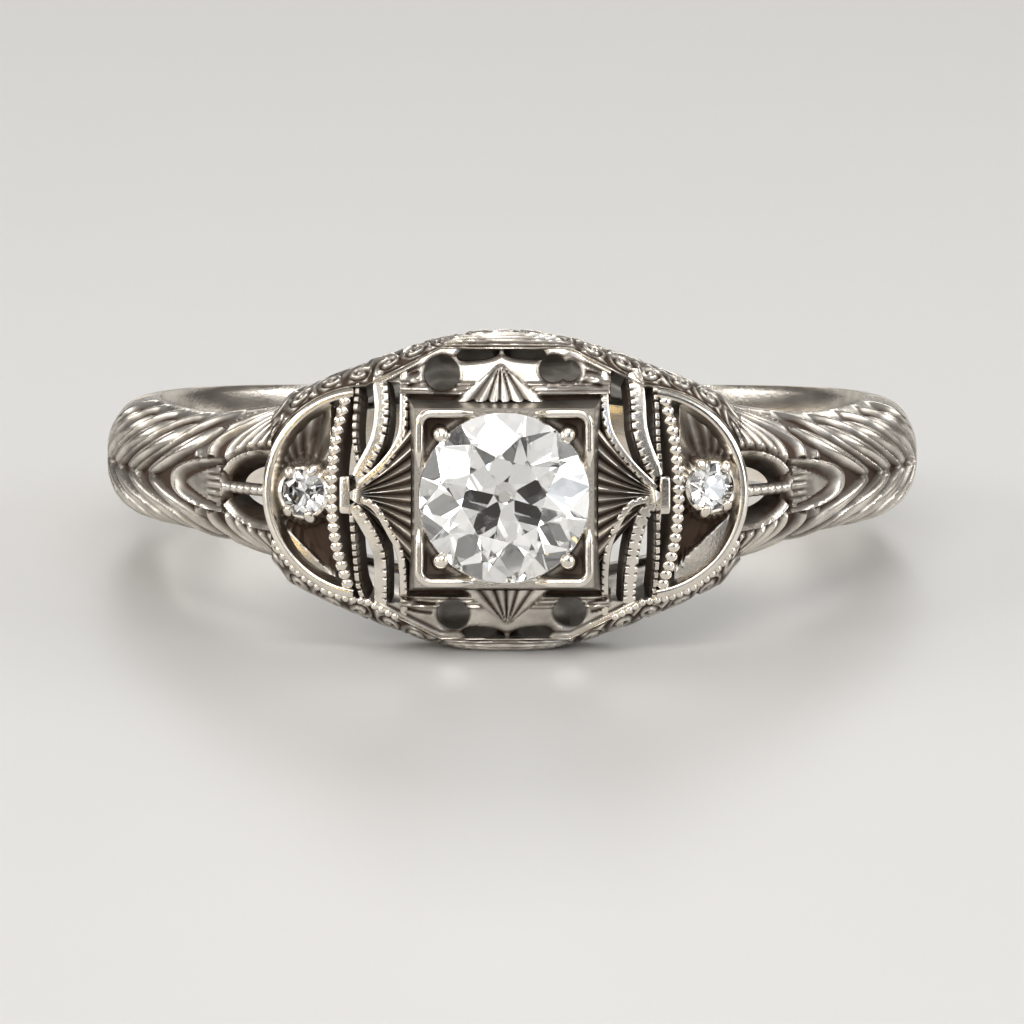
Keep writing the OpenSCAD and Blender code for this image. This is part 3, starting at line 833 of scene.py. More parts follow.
def make_gallery(side):
    """One long side of the head: a loop of section points at each x.

    From the crown's border it bends over in a quarter oval to the widest line of the head, goes
    down to the rail in another one, both engraved, and comes back up inside."""
    s = sizes()
    reach = NECK_X - 0.27
    bulge, end_sink, wall = 0.10, 0.30, 0.34
    x = np.linspace(-reach, reach, 330)[:, None]
    border = border_half(x) - 0.02
    wide = edge_half(x) + bulge * np.maximum(1 - (x / 2.6) ** 2, 0)
    start = crown_point(x, border, 0.0)[..., 1]
    widest = crown_point(x, edge_half(x), 0.0)[..., 1] + 0.55
    ends = end_sink * smooth(4.95, reach, abs(x))
    foot = edge_half(x, BASE_HALF, s.neck_half - 0.05)
    low_y = -np.sqrt((FINGER_R + 0.5) ** 2 - x**2)
    bend = np.linspace(0, math.pi / 2, 36)[None]
    band = np.stack([x + 0 * bend, start + (widest - start) * (1 - np.cos(bend)),
                     border + (wide - border) * np.sin(bend)], -1)
    fall = np.linspace(0, math.pi / 2, 56)[None, 1:]
    side_wall = np.stack([x + 0 * fall, widest + (low_y - widest) * np.sin(fall),
                          wide - (wide - foot) * (1 - np.cos(fall))], -1)
    skin = np.concatenate([band, side_wall], 1)
    step = np.linalg.norm(np.diff(skin, axis=1), axis=2)
    down = np.concatenate([0 * x, np.cumsum(step, axis=1)], 1)
    along = np.gradient(skin, axis=1)
    normal = unit(np.stack([0 * along[..., 0], -along[..., 2], along[..., 1]], -1))
    height, dark = scroll_relief(x + 0 * down, down)
    skin = skin + normal * (height - ends)[..., None]
    back = np.linspace(0, 1, 6)[None]
    inside_z = (foot - wall) + (border - 0.30 - foot + wall) * back
    top_in = crown_point(x, border - 0.3, -s.shell)[..., 1]
    inside = np.stack([x + 0 * back, low_y + (top_in - low_y) * back, inside_z], -1)
    lip = crown_point(x, border - 0.02, -0.25)
    rings = np.concatenate([skin, inside, lip], 1)
    # Painted shade: the engraving's, and an even darker tone on the inside and the lip.
    shade = np.concatenate([dark, 0.35 + 0 * inside_z, 0.5 + 0 * x], 1)
    name = bank_of(side)
    make(f"gallery_scrolled_{name}", [flip(tube(rings, shade), [1, 1, side])],
         chased(), [f"gallery_{name}"], sharp=60)


def make_edge_beads():
    """Milgrain grains in a row along the south rims of the side settings."""
    runs = []
    for hand in (-1, 1):
        path = np.linspace(2.55, 5.35, 90)
        plan = flowing(np.stack([hand * path, -border_half(path) - 0.03], -1), 20)
        points = crown_point(plan[:, 0], plan[:, 1], 0.0)
        up = crown_up(points)
        along = unit(np.gradient(points, axis=0))
        side = unit(np.cross(along, up))
        runs.append(grains(points, side, along, up, (0.10, 0.104, 0.09)))
    make("edge_milgrain", runs, polished(), [])


# ---------------------------------------------------------------------------------------------
# The pierced crown


PLATE_HALF = 2.45
# Spacing of the lines on the bar along the setting, and where the bar starts and ends.
LINE_PITCH, BAR_LOW, BAR_HIGH = 0.115, 2.36, 2.60
# Each plate's round holes (place along, place away from the middle line, radius), the places of
# its long holes, its shell's apex, and where its left and right ends step down to the ribs.
PLATES = {
    "north": (((-1.46, 2.80, 0.42), (1.12, 2.91, 0.33), (1.50, 2.86, 0.25)), (-0.62, 0.46),
              (-0.10, 3.08), (2.60, 2.95)),
    "south": (((-1.2, 2.80, 0.38), (1.5, 2.74, 0.38)), (-0.5, 0.6), (0.05, 3.05), (2.55, 2.50)),
}
# A long hole: its distance from the middle line, half length and half height.
EYE_Z, EYE_LONG, EYE_HIGH = 3.31, 0.50, 0.185


def shell_engraving(x, z, apex_x, apex_z):
    """Height of a fluted shell that opens from its apex towards the setting, how far inside it
    a place is, and its rays: a sine of the angle, cut off on a scalloped line."""
    angle = np.arctan2(x - apex_x, apex_z - z)
    distance = np.hypot(x - apex_x, apex_z - z)
    ray = abs(np.sin(angle * 9.2 + 0.9 * np.sin(1.4 * angle) + 0.25))
    end = 0.86 + 0.07 * ray
    inside = smooth(0.92, 0.84, abs(angle)) * smooth(0.03, -0.03, apex_z - z - end)
    inside = inside * smooth(0.02, 0.14, distance)
    middle = 1 - 0.7 * smooth(0.3, 0.9, abs(angle))
    height = 0.07 * middle + 0.085 * (ray**0.8 - 1) * smooth(0.0, 0.4, distance)
    return height * inside, inside, ray


def plate_leaf(x, z, side):
    """Height and painted shade of a pair of curved leaves at the plate's ends: a ridge along an arc
    with a cut on either side of it, painted dark. The south plate's are longer."""
    out = abs(x) - 1.95
    size = 0.55 if side < 0 else 0.36
    curve = z - 2.62 + 0.30 * out**2 + 0.16 * out - (0.0 if side < 0 else 0.10)
    length = smooth(size, 0.6 * size, abs(out))
    ridge = bump(curve, 0.055) * length
    cuts = (bump(curve - 0.12, 0.035) + bump(curve + 0.12, 0.035)) * length
    return 0.05 * ridge - 0.06 * cuts, 0.8 * cuts


def make_top_plate(side):
    """The engraved plate between the setting and the edge: four holes, a shell and a bar.

    It is the crown's surface over a grid, raised by the engraving, where the least of the
    distances to the border, the setting, the ends and the holes is above zero."""
    s = sizes()
    name = bank_of(side)
    rounds, eyes, apex, close_z = PLATES[name]
    wide = CUT_X[1] + 0.2
    thick = 0.45

    def holes(x, z):
        """Above zero inside a hole: circles, and long ovals that follow the plate's edge."""
        gaps = [radius - np.hypot(x - cx, z - cz) for cx, cz, radius in rounds]
        for cx in eyes:
            high = abs((z - EYE_Z + 0.10 * x**2) / EYE_HIGH)
            lens = abs((x - cx) / EYE_LONG) ** 2.6 + high**2.0
            gaps.append(EYE_HIGH * (1 - np.sqrt(lens + 1e-9)))
        return np.maximum.reduce(gaps)

    def field(x, z):
        """The least of the distances to the plate's outlines."""
        edge = (border_half(x) - z) * 0.9
        ends = np.maximum(PLATE_HALF - abs(x), z - np.where(x < 0, *close_z))
        ends = np.minimum(ends, wide - abs(x))
        return np.minimum.reduce([edge, z - BOX_HALF + 0.06, ends, -holes(x, z)])

    def relief(x, z):
        """Height and painted shade, with tarnish, of the engraving: shell, lined bar, leaves, and a
        wire and a lip along the plate's edge and its holes."""
        shell, inside, ray = shell_engraving(x, z, *apex)
        hole = -holes(x, z)
        bar = smooth(BAR_HIGH + 0.06, BAR_HIGH, z) * smooth(BAR_LOW - 0.06, BAR_LOW, z)
        bar = bar * smooth(PLATE_HALF, PLATE_HALF - 0.05, abs(x))
        lines = np.cos(2 * math.pi * (z - BAR_LOW) / LINE_PITCH + 0.5 * np.sin(2.1 * x))
        groove = smooth(BAR_LOW, BAR_LOW - 0.08, z)
        lip = -0.05 * smooth(0.07, 0.0, hole)
        bar_height = (0.055 + 0.02 * lines) * bar * (1 - inside)
        from_edge = border_half(x) - z
        wire = 0.035 * bump(from_edge - 0.06, 0.045) - 0.05 * bump(from_edge - 0.15, 0.035)
        wire = wire * smooth(0.10, 0.2, hole)
        leaf, leaf_dark = plate_leaf(x, z, side)
        free = (1 - inside) * smooth(0.08, 0.14, hole)
        height = shell + bar_height - 0.16 * groove * (1 - inside) + lip + wire + leaf * free
        dark = 0.85 * groove * (1 - inside) + 0.75 * inside * (1 - ray) ** 1.4
        dark = dark + bar * (1 - inside) * np.clip(-lines, 0, 1) * 0.5
        dark = dark + 0.6 * bump(from_edge - 0.15, 0.035) + leaf_dark * free
        # Painted shade: a little all over the plate, which dulls its flat, and more round the holes.
        return height, np.clip(dark + 0.10 + 0.45 * smooth(0.05, 0.0, hole), 0, 1)

    x = np.arange(-wide, wide + s.grain, s.grain)
    z = np.arange(BOX_HALF - 0.1, HEAD_HALF, s.grain)
    sheet = pierced(lambda a, b: crown_point(a, b, relief(a, b)[0]),
                    lambda a, b: crown_point(a, b, -thick), field, x, z,
                    lambda a, b: relief(a, b)[1], 0.95)
    make(f"top_plate_engraved_{name}", [flip(sheet, [1, 1, side])], chased(),
         [f"top_plate_{name}"])


# The ribs of each corner, as places (out from the middle, away from the middle line) that a rib
# runs through, its width, and where it has milgrain: on its outer side, on both edges or all over.
RIBS = {
    "northwest": (
        ([(2.35, 2.95), (2.34, 2.0), (2.41, 1.35), (2.80, 0.75), (3.42, 0.18)], 0.20, "outer"),
        ([(2.93, 2.80), (2.86, 2.0), (2.95, 1.35), (3.16, 0.88), (3.44, 0.42)], 0.36, "outer"),
        ([(3.42, 2.55), (3.48, 1.9), (3.49, 1.3), (3.42, 0.8), (3.40, 0.55)], 0.12, "all"),
    ),
    "northeast": (
        ([(2.31, 2.95), (2.32, 2.1), (2.45, 1.45), (2.90, 0.78), (3.50, 0.16)], 0.19, "outer"),
        ([(3.00, 2.90), (3.09, 2.2), (3.13, 1.6), (3.28, 1.05), (3.55, 0.45)], 0.38, "outer"),
        ([(3.46, 2.60), (3.53, 2.0), (3.56, 1.3), (3.60, 0.8), (3.62, 0.5)], 0.12, "all"),
    ),
    "southwest": (
        ([(3.50, 0.06), (3.04, 0.26), (2.64, 0.90), (2.42, 1.40), (2.36, 2.2), (2.36, 2.9)],
         0.19, "outer"),
        ([(3.56, 0.22), (3.30, 0.60), (3.02, 1.12), (2.90, 1.60), (2.90, 2.8)], 0.32, "outer"),
        ([(3.58, 0.40), (3.52, 1.06), (3.48, 1.57), (3.42, 2.15), (3.28, 2.55)], 0.13, "all"),
    ),
    "southeast": (
        ([(3.50, 0.06), (2.92, 0.22), (2.53, 0.85), (2.35, 1.60), (2.33, 2.9)], 0.18, "outer"),
        ([(3.52, 0.12), (3.22, 0.48), (3.02, 1.20), (2.92, 2.00), (2.88, 2.8)], 0.32, "edges"),
        ([(3.56, 0.12), (3.56, 0.80), (3.54, 1.60), (3.45, 2.5)], 0.12, "all"),
    ),
}


def rib(places, width, beaded, hand):
    """A pierced rib: a flat-topped section with rounded corners carried over the crown, with
    narrow notches across its top at the milgrain pitch. hand is 1 where the rib's outer side is
    on the right of its way, and -1 where it is on the left."""
    s = sizes()
    plan = flowing(places, 240)
    path = crown_point(plan[:, 0], plan[:, 1], 0.0)
    length = np.r_[0, np.cumsum(np.linalg.norm(np.diff(path, axis=0), axis=1))]
    uneven = 0.16 * np.sin(5.1 * length + 9 * places[0][0]) + 0.10 * np.sin(13.7 * length)
    phase = abs(((length / s.notch_pitch + uneven) % 1) - 0.5)
    notch = -s.notch_depth * bump(phase, 0.13)[:, None] * (0.85 + uneven)[:, None]
    half = width / 2 * (0.75 + 0.25 * smooth(0, 0.25, length) * smooth(0, 0.2, length[-1] - length))
    half = half[:, None]
    side = np.array([-1, -1, -0.92, -0.7, -0.35, 0, 0.3, 0.45, 0.6, 0.75, 0.9, 1, 1, 1, -1])
    top = np.array([-0.22, -0.06, -0.015, 0, 0, 0, 0, 0, -0.003, -0.01, -0.025, -0.07, -0.22, 0, 0])
    base = np.array([0.0] * 13 + [1.0, 1.0])
    # Where the notches cut: over the whole top, on both edges, or on the outer edge.
    weight = (1 - base) * np.where(top < -0.1, 0.3, 1.0)
    if beaded == "edges":
        weight = weight * smooth(0.35, 0.65, abs(side))
    if beaded == "outer":
        weight = weight * smooth(0.25, 0.6, side * hand)
    up = top[None] + notch * weight[None]
    up = np.where(base[None] > 0, -s.shell, up)
    outline = np.stack([side[None] * half, up + 0 * half], -1)
    # Painted shade and tarnish: darkest on the underside, dark in the notches, and darker on the
    # top's sloped sides.
    dark = np.where(base[None] > 0, 1.0, np.clip(-notch / s.notch_depth, 0, 1) * weight * 0.9)
    dark = dark + np.where(top < -0.1, 0.75, 0)[None]
    return carry(path, crown_up(path), outline, np.clip(dark, 0, 1))


def make_ribs(corner):
    """The three ribs of one corner of the pierced crown."""
    mirror = [-1 if "west" in corner else 1, 1, 1 if "north" in corner else -1]
    hand = 1 if "north" in corner else -1
    solids = [flip(rib(*row, hand), mirror) for row in RIBS[corner]]
    make(f"ribs_{corner}", solids, chased(), [f"leaf_ribs_{corner}"])


def make_fan(side):
    """A fluted wedge from the setting's side to its tip: rays spread from the tip, with a
    pinched knot where they meet."""
    name = hand_of(side)
    start, rays, deep = BOX_HALF - 0.08, 10, 0.15
    u = np.linspace(0, 1, 60)
    v = np.linspace(-1, 1, 121)

    def plan(a, b):
        """The place a share a of the way from tip to setting, and b of the half width."""
        half = 0.07 + 1.5 * np.maximum(a, 0) ** 1.3
        return FAN_TIP - a * (FAN_TIP - start), b * half

    def relief(a, b):
        """Height and painted shade with tarnish: ridges evenly spaced across, deeper away from the
        tip, with dark flutes between them.
        """
        ray = abs(((b * rays / 2 + 0.35 * np.sin(3.1 * b) + 0.25) % 1) - 0.5) * 2
        depth = deep * smooth(0.05, 0.5, a)
        knot = 0.10 * bump(a - 0.10, 0.10) - 0.07 * bump(a - 0.33, 0.12)
        height = depth * (ray**0.8 - 1) + knot + 0.05 * smooth(0.4, 1, a)
        return height, 0.95 * (1 - ray) ** 0.9 * smooth(0.1, 0.35, a)

    def outer(a, b):
        """The crown over the place, raised by the relief."""
        x, z = plan(a, b)
        return crown_point(x, z, relief(a, b)[0])

    def inner(a, b):
        """The crown's inside over the place."""
        x, z = plan(a, b)
        return crown_point(x, z, -sizes().shell)

    sheet = pierced(outer, inner, lambda a, b: 1.0 + 0 * a, u, v, lambda a, b: relief(a, b)[1])
    make(f"fan_fluted_{name}", [flip(sheet, [side, 1, 1])], polished(),
         [f"fan_{name}"])


def pillow(centre, up, along, radii, power, recess=0.0):
    """A block with rounded edges: a ball whose sines and cosines are raised to 2 / power."""
    lat = np.radians(np.linspace(4, 176, 24))[:, None]
    lon = np.radians(np.arange(0, 360, 10))[None]

    def bend(value):
        """The value raised to 2 / power, with its sign kept."""
        return np.sign(value) * abs(value) ** (2 / power)

    ball = np.stack([bend(np.sin(lat)) * bend(np.cos(lon)), bend(np.sin(lat)) * bend(np.sin(lon)),
                     bend(np.cos(lat)) + 0 * lon], -1) * radii
    side = np.cross(along, up)
    rings = centre + ball @ np.stack([side, along, up])
    return tube(rings, recess)


def make_collar(side):
    """A small bright bar that ties the ribs together at a fan's tip."""
    name = hand_of(side)
    middle, half = (COLLAR_LOW + COLLAR_HIGH) / 2, (COLLAR_HIGH - COLLAR_LOW) / 2
    spot = crown_point(middle[0], 0.0, -0.16)
    up = crown_up(spot[None])[0]
    bar = pillow(spot, up, np.array([0.0, 0, 1]), (half[0] * 0.95, half[2], 0.24), 7.0)
    make(f"collar_bar_{name}", [flip(bar, [side, 1, 1])], polished(),
         [f"collar_{name}"])


def make_strip(side):
    """The straight beaded side of a side setting: oval grains on a narrow wall."""
    name = hand_of(side)
    shell = sizes().shell
    plan = flowing(STRIP_LINE, 160)
    path = crown_point(plan[:, 0], plan[:, 1], -0.06)
    outline = np.array([(-0.15, -0.06), (-0.10, 0.02), (0.10, 0.02), (0.15, -0.06),
                        (0.15, -shell), (-0.15, -shell)])
    # The wall's recess: painted shade on its top and sides, darkest on its underside.
    wall = carry(path, crown_up(path), outline[None], np.array([0.7, 0.5, 0.5, 0.7, 1, 1])[None])
    spots = crown_point(*flowing(plan, 20).T, -0.02)
    up = crown_up(spots)
    along = unit(np.gradient(spots, axis=0))
    across = unit(np.cross(along, up))
    beads = grains(spots, across, along, up, (0.16, 0.125, 0.085))
    solids = [flip(solid, [side, 1, 1]) for solid in (wall, beads)]
    make(f"milgrain_{name}", solids, polished(), [f"beaded_strip_{name}"])


# ---------------------------------------------------------------------------------------------
# The side settings


def side_spot(side, lift):
    """The middle of a side stone and its outward direction, on the crown. The right-hand stone
    sits a little higher than the left-hand one."""
    x = (SIDE_LOW[0] + SIDE_HIGH[0]) / 2 + SIDE_SHIFT[side]
    spot = crown_point(x, SIDE_RISE[side], lift)
    return spot, crown_up(spot[None])[0]


def make_seat(side):
    """A side setting's floor, on rays round the stone that reach to the rim and the strip.

    The height is the highest of a deep floor, a lip round the stone, a slope down from the rim,
    and one flat facet below the stone that rises from its straight inner edge to the rim."""
    spot, _ = side_spot(side, 0.0)
    start, reach = SIDE_STONE_R * 0.93, RIM_R - 0.08
    # Depths under the crown: the deep floor, the facet's inner edge, its top, and the underside.
    deep, facet_low, facet_top, under = -0.46, -0.30, -0.07, -0.75
    angle = np.linspace(0, 2 * math.pi, 181)
    t = np.linspace(0, 1, 48)
    (low_x, low_z), (high_x, high_z) = FACET_EDGE[side]
    long = math.hypot(high_x - low_x, high_z - low_z)
    normal_x, normal_z = (high_z - low_z) / long, -(high_x - low_x) / long

    def plan(a, b):
        """The place at an angle a round the stone and a share b of the way out, and its radius."""
        c, sn = np.cos(a), np.sin(a)
        offset_x, offset_z = spot[0] - RIM_X, spot[2]
        middle = offset_x * c + offset_z * sn
        far = -middle + np.sqrt(np.maximum(reach**2 - offset_x**2 - offset_z**2 + middle**2, 0))
        flat = np.where(c < -1e-3, (spot[0] - STRIP_X) / np.maximum(-c, 1e-3), 99.0)
        radius = start + (np.minimum(far, flat) - start) * b
        return spot[0] + radius * c, spot[2] + radius * sn, radius

    def relief(a, b):
        """Depth under the crown, and painted shade with tarnish: darkest on the deep floor, less so
        towards the north, and on the engraved rays.
        """
        x, z, radius = plan(a, b)
        inner_gap = radius - SIDE_STONE_R
        lip = -0.09 - 0.02 * abs(np.sin(4 * a)) - 1.3 * np.maximum(inner_gap - 0.04, 0)
        from_rim = reach - np.hypot(x - RIM_X, z)
        slope = -0.12 - 0.55 * from_rim
        ridge = -0.10 - 1.1 * abs(x - 4.05)
        across = (x - low_x) * normal_x + (z - low_z) * normal_z
        facet = facet_low + np.where(across > 0, 0.42, 2.2) * across
        facet = np.minimum(facet, facet_top)
        floor = np.maximum.reduce([lip, slope, ridge * (z > 0) - 0.5 * (z <= 0), facet])
        floor = np.maximum(floor, deep)
        # Engraved rays round the stone, above the facet.
        cut = (0.5 - 0.5 * np.cos(30 * a)) * smooth(0.05, 0.2, inner_gap)
        cut = cut * smooth(0.0, 0.15, from_rim) * smooth(0.02, -0.05, across)
        floor = floor - 0.045 * cut
        dark = (0.95 - 0.40 * smooth(0.2, 0.8, z)) * smooth(-0.20, -0.40, floor) + 0.30 * cut
        dark = dark * smooth(0.04, -0.04, across) + 0.10 * smooth(-0.04, 0.04, across)
        return floor, np.clip(dark, 0, 1)

    grid_a, grid_t = np.meshgrid(angle[:-1], t, indexing="ij")
    x, z, _ = plan(grid_a, grid_t)
    floor, dark = relief(grid_a, grid_t)
    top = crown_point(x, z, floor)
    low = crown_point(x, z, under)
    rings = np.concatenate([top, low[:, ::-1]], 1)
    # The underside is painted darkest: painted shade.
    dark = np.concatenate([dark, 1 + 0 * grid_t], 1)
    solid = tube(rings, dark, loop=True)
    name = hand_of(side)
    make(f"seat_floor_{name}", [flip(solid, [side, 1, 1])], polished(),
         [f"side_seat_{name}"], sharp=30)


def make_rim(side):
    """The curved rim: a round-topped wire carried along an arc over the crown."""
    name = hand_of(side)
    reach, half_wide, low = math.radians(82), 0.11, -0.55
    angle = np.linspace(-reach, reach, 220)
    radius = RIM_R - 0.12
    path = crown_point(RIM_X + radius * np.cos(angle), radius * np.sin(angle), 0.0)
    turn = np.radians(np.linspace(0, 180, 11))
    top = np.stack([0.115 * np.cos(turn), 0.02 + 0.085 * np.sin(turn) ** 0.8], -1)
    base = np.array([(-half_wide, low), (half_wide, low)])
    outline = np.vstack([top, base])
    # Painted shade: the wire's base is darkest and its top bare.
    dark = np.r_[np.zeros(len(top)), 1, 1]
    solid = carry(path, crown_up(path), outline[None], dark[None])
    make(f"seat_rim_wire_{name}", [flip(solid, [side, 1, 1])], polished(),
         [f"seat_rim_{name}"])


# ---------------------------------------------------------------------------------------------
# Stones and beads


def old_cut(radius, share, crown, girdle, depth, culet, star=0.5, lower=0.56, arc=4):
    """An old European cut: the table is an eight-sided flat, and kites, stars and halves fall
    from it to a scalloped girdle, with mains and halves below.

    Every kite lies in the plane through its table corner and its girdle point, which gives the
    height of its two side corners, and every main does the same below. The girdle's points
    between corners lie in their half facet's plane, so that all facets are flat."""
    k = np.arange(8)
    at, mid = np.radians(45 * k), np.radians(45 * k + 22.5)
    table_r, culet_r = share * radius, culet / 2
    half_step = math.cos(math.radians(22.5))

    def ring(r, angle, height):
        """Points on a level circle."""
        return np.stack([r * np.cos(angle), r * np.sin(angle), height + 0 * angle], -1)

    star_r = table_r + (radius - table_r) * star
    star_h = crown * (radius - star_r * half_step) / (radius - table_r)
    lower_r = culet_r + (radius - culet_r) * (1 - lower)
    lower_h = -depth * (radius - lower_r * half_step) / (radius - culet_r)
    up, down = girdle / 2, -girdle / 2
    table = ring(table_r, at, crown + up)
    stars = ring(star_r, mid, star_h + up)
    lowers = ring(lower_r, mid, lower_h + down)
    culets = ring(culet_r / half_step, mid, down - depth)
    fine = np.radians(22.5 / arc * np.arange(16 * arc))
    owner = np.arange(16 * arc) // arc

    def scallop(tops, level):
        """The girdle's edge: each point lies in the plane of its half facet."""
        a = ring(radius, np.radians(22.5 * owner), level)
        b = ring(radius, np.radians(22.5 * (owner + 1)), level)
        c = tops[owner // 2]
        normal = np.cross(b - a, c - a)
        xy = ring(radius, fine, 0.0)
        return np.stack([xy[:, 0], xy[:, 1], a[:, 2] - (normal[:, 0] * (xy[:, 0] - a[:, 0])
                         + normal[:, 1] * (xy[:, 1] - a[:, 1])) / normal[:, 2]], -1)

    upper_edge, lower_edge = scallop(stars, up), scallop(lowers, down)
    points = np.vstack([table, stars, upper_edge, lower_edge, lowers, culets])
    n = 16 * arc
    # Where each row of points starts: the table's comes first.
    star_at, upper_at, under_at, lower_at, culet_at = 8, 16, 16 + n, 16 + 2 * n, 24 + 2 * n
    faces = [list(range(8)), [culet_at + i for i in range(7, -1, -1)]]
    for i in range(8):
        after, before = (i + 1) % 8, (i - 1) % 8
        main = 2 * arc * i
        faces.append([i, star_at + i, after])
        faces.append([i, star_at + before, upper_at + main, star_at + i])
        for half in (main, main + arc):
            faces.append([star_at + i] + [upper_at + (half + m) % n for m in range(arc + 1)])
        for half in (main, main + arc):
            faces.append([lower_at + i] + [under_at + (half + m) % n for m in range(arc, -1, -1)])
        faces.append([lower_at + i, under_at + main, lower_at + before,
                      culet_at + before, culet_at + i])
    faces += [[upper_at + m, under_at + m, under_at + (m + 1) % n, upper_at + (m + 1) % n]
              for m in range(n)]
    return points, faces, np.zeros(len(points))


def single_cut(radius, share, crown, girdle, depth, culet):
    """A single cut: a table and a girdle of eight sides, with one row of flats above and below.
    Its points are eight on each of four level circles."""
    at = np.radians(22.5 + 45 * np.arange(8))
    rows = ((share * radius, crown + girdle / 2), (radius, girdle / 2), (radius, -girdle / 2),
            (culet / 2, -girdle / 2 - depth))
    rings = [np.stack([r * np.cos(at), r * np.sin(at), h + 0 * at], -1) for r, h in rows]
    return tube(np.stack(rings))


def pavilion_depth(radius, culet):
    """Depth below the girdle: the run from girdle to culet times the tangent of the slope."""
    return (radius - culet / 2) * math.tan(PAVILION_ANGLE)


def fix_facets(solid):
    """Turns every face of a convex solid that holds the origin outwards."""
    points, faces, recess = solid
    turned = []
    for face in faces:
        a, b, c = points[face[0]], points[face[1]], points[face[2]]
        out = np.dot(np.cross(b - a, c - a), a)
        turned.append(face if out > 0 else face[::-1])
    return points, turned, recess


def placed(solid, origin, up, spin):
    """The solid spun about its Z, turned so that its Z points along up, then moved to origin."""
    points, faces, recess = solid
    x = unit(np.cross([0.0, 0, 1], up))
    y = np.cross(up, x)
    c, s = math.cos(spin), math.sin(spin)
    turned = points @ np.array([[c, s, 0], [-s, c, 0], [0, 0, 1]])
    return origin + turned @ np.stack([x, y, up]), faces, recess


def make_centre_diamond():
    """The centre stone, its table forwards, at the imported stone's place."""
    table_share, girdle, culet, spin = 0.50, 0.08, 0.26, math.radians(8)
    crown = SETTING_Y - girdle / 2 - STONE_LOW[1]
    depth = pavilion_depth(STONE_R, culet)
    stone = fix_facets(old_cut(STONE_R, table_share, crown, girdle, depth, culet, lower=0.62))
    stone = placed(stone, np.array([0.0, SETTING_Y, 0.0]), np.array([0.0, -1, 0]), spin)
    material = clear_stone("diamond_clear", (0.985, 0.985, 0.975))
    make("old_cut_diamond", [stone], material, ["centre_diamond"], sharp=0)


def make_side_diamond(side):
    """A small single-cut stone, its table facing out from the crown. It is a little wider than
    the frame's, to reach under its beads."""
    name = hand_of(side)
    table_share, culet = 0.52, 0.04
    crown, girdle = 0.30 * SIDE_STONE_R, 0.05 * SIDE_STONE_R
    spot, up = side_spot(side, -SIDE_SINK)
    stone = single_cut(SIDE_STONE_R * 1.04, table_share, crown, girdle,
                       pavilion_depth(SIDE_STONE_R, culet), culet)
    spin = math.radians(11 if side > 0 else 3)
    stone = placed(fix_facets(stone), spot, up, spin)
    material = clear_stone("side_diamond_clear", (0.97, 0.975, 0.985))
    make(f"side_cut_diamond_{name}", [flip(stone, [side, 1, 1])], material,
         [f"side_diamond_{name}"], sharp=0)


def claw_bead(spot, up, lean, radius):
    """A raised bead on a short tapering stem that leans towards its stone: level circles at
    seven heights, each a share of the radius wide."""
    height = np.array([-0.30, -0.12, -0.03, 0.05, 0.11, 0.155, 0.18])
    wide = np.array([1.25, 1.05, 1.0, 0.97, 0.78, 0.45, 0.12]) * radius
    turn = np.radians(np.arange(0, 360, 15))
    side = unit(np.cross(up, [0.3, 0.2, 0.9]))
    other = np.cross(up, side)
    rings = (spot + height[:, None, None] * up + np.maximum(height, 0)[:, None, None] * lean
             + wide[:, None, None] * (np.cos(turn)[None, :, None] * side
                                      + np.sin(turn)[None, :, None] * other))
    # Painted shade at the bead's foot, fading up its stem.
    dark = np.array([0.9, 0.6, 0.2, 0, 0, 0, 0])[:, None]
    return tube(rings, dark)


def make_centre_beads():
    """Four beads in the corners of the square, each leaning on the girdle."""
    reach = (STONE_R + 0.11) / math.sqrt(2)
    bead_r, tilt = 0.19, 0.35
    up = np.array([0.0, -1, 0])
    solids = []
    for sx in (-1, 1):
        for sz in (-1, 1):
            spot = np.array([sx * reach, SETTING_Y + 0.02, sz * reach])
            lean = unit(np.array([-sx, 0, -sz])) * tilt
            solids.append(claw_bead(spot, up, lean, bead_r))
    make("corner_bead_set", solids, polished(), ["centre_beads"])


def make_side_beads(side):
    """Four small beads round a side stone."""
    name = hand_of(side)
    bead_r, tilt = 0.145, 0.5
    spot, up = side_spot(side, -SIDE_SINK)
    out = np.cross(up, [0.0, 0, 1])
    out = unit(out) * (1 if out[0] > 0 else -1)
    solids = []
    for degrees in (52, 116, 252, 312):
        angle = math.radians(degrees)
        way = math.cos(angle) * out + math.sin(angle) * np.array([0.0, 0, 1])
        place = spot + way * (SIDE_STONE_R + 0.05)
        bead = claw_bead(place, up, -way * tilt, bead_r)
        solids.append(flip(bead, [side, 1, 1]))
    make(f"side_bead_set_{name}", solids, polished(), [f"side_beads_{name}"])


# ---------------------------------------------------------------------------------------------
# The square setting


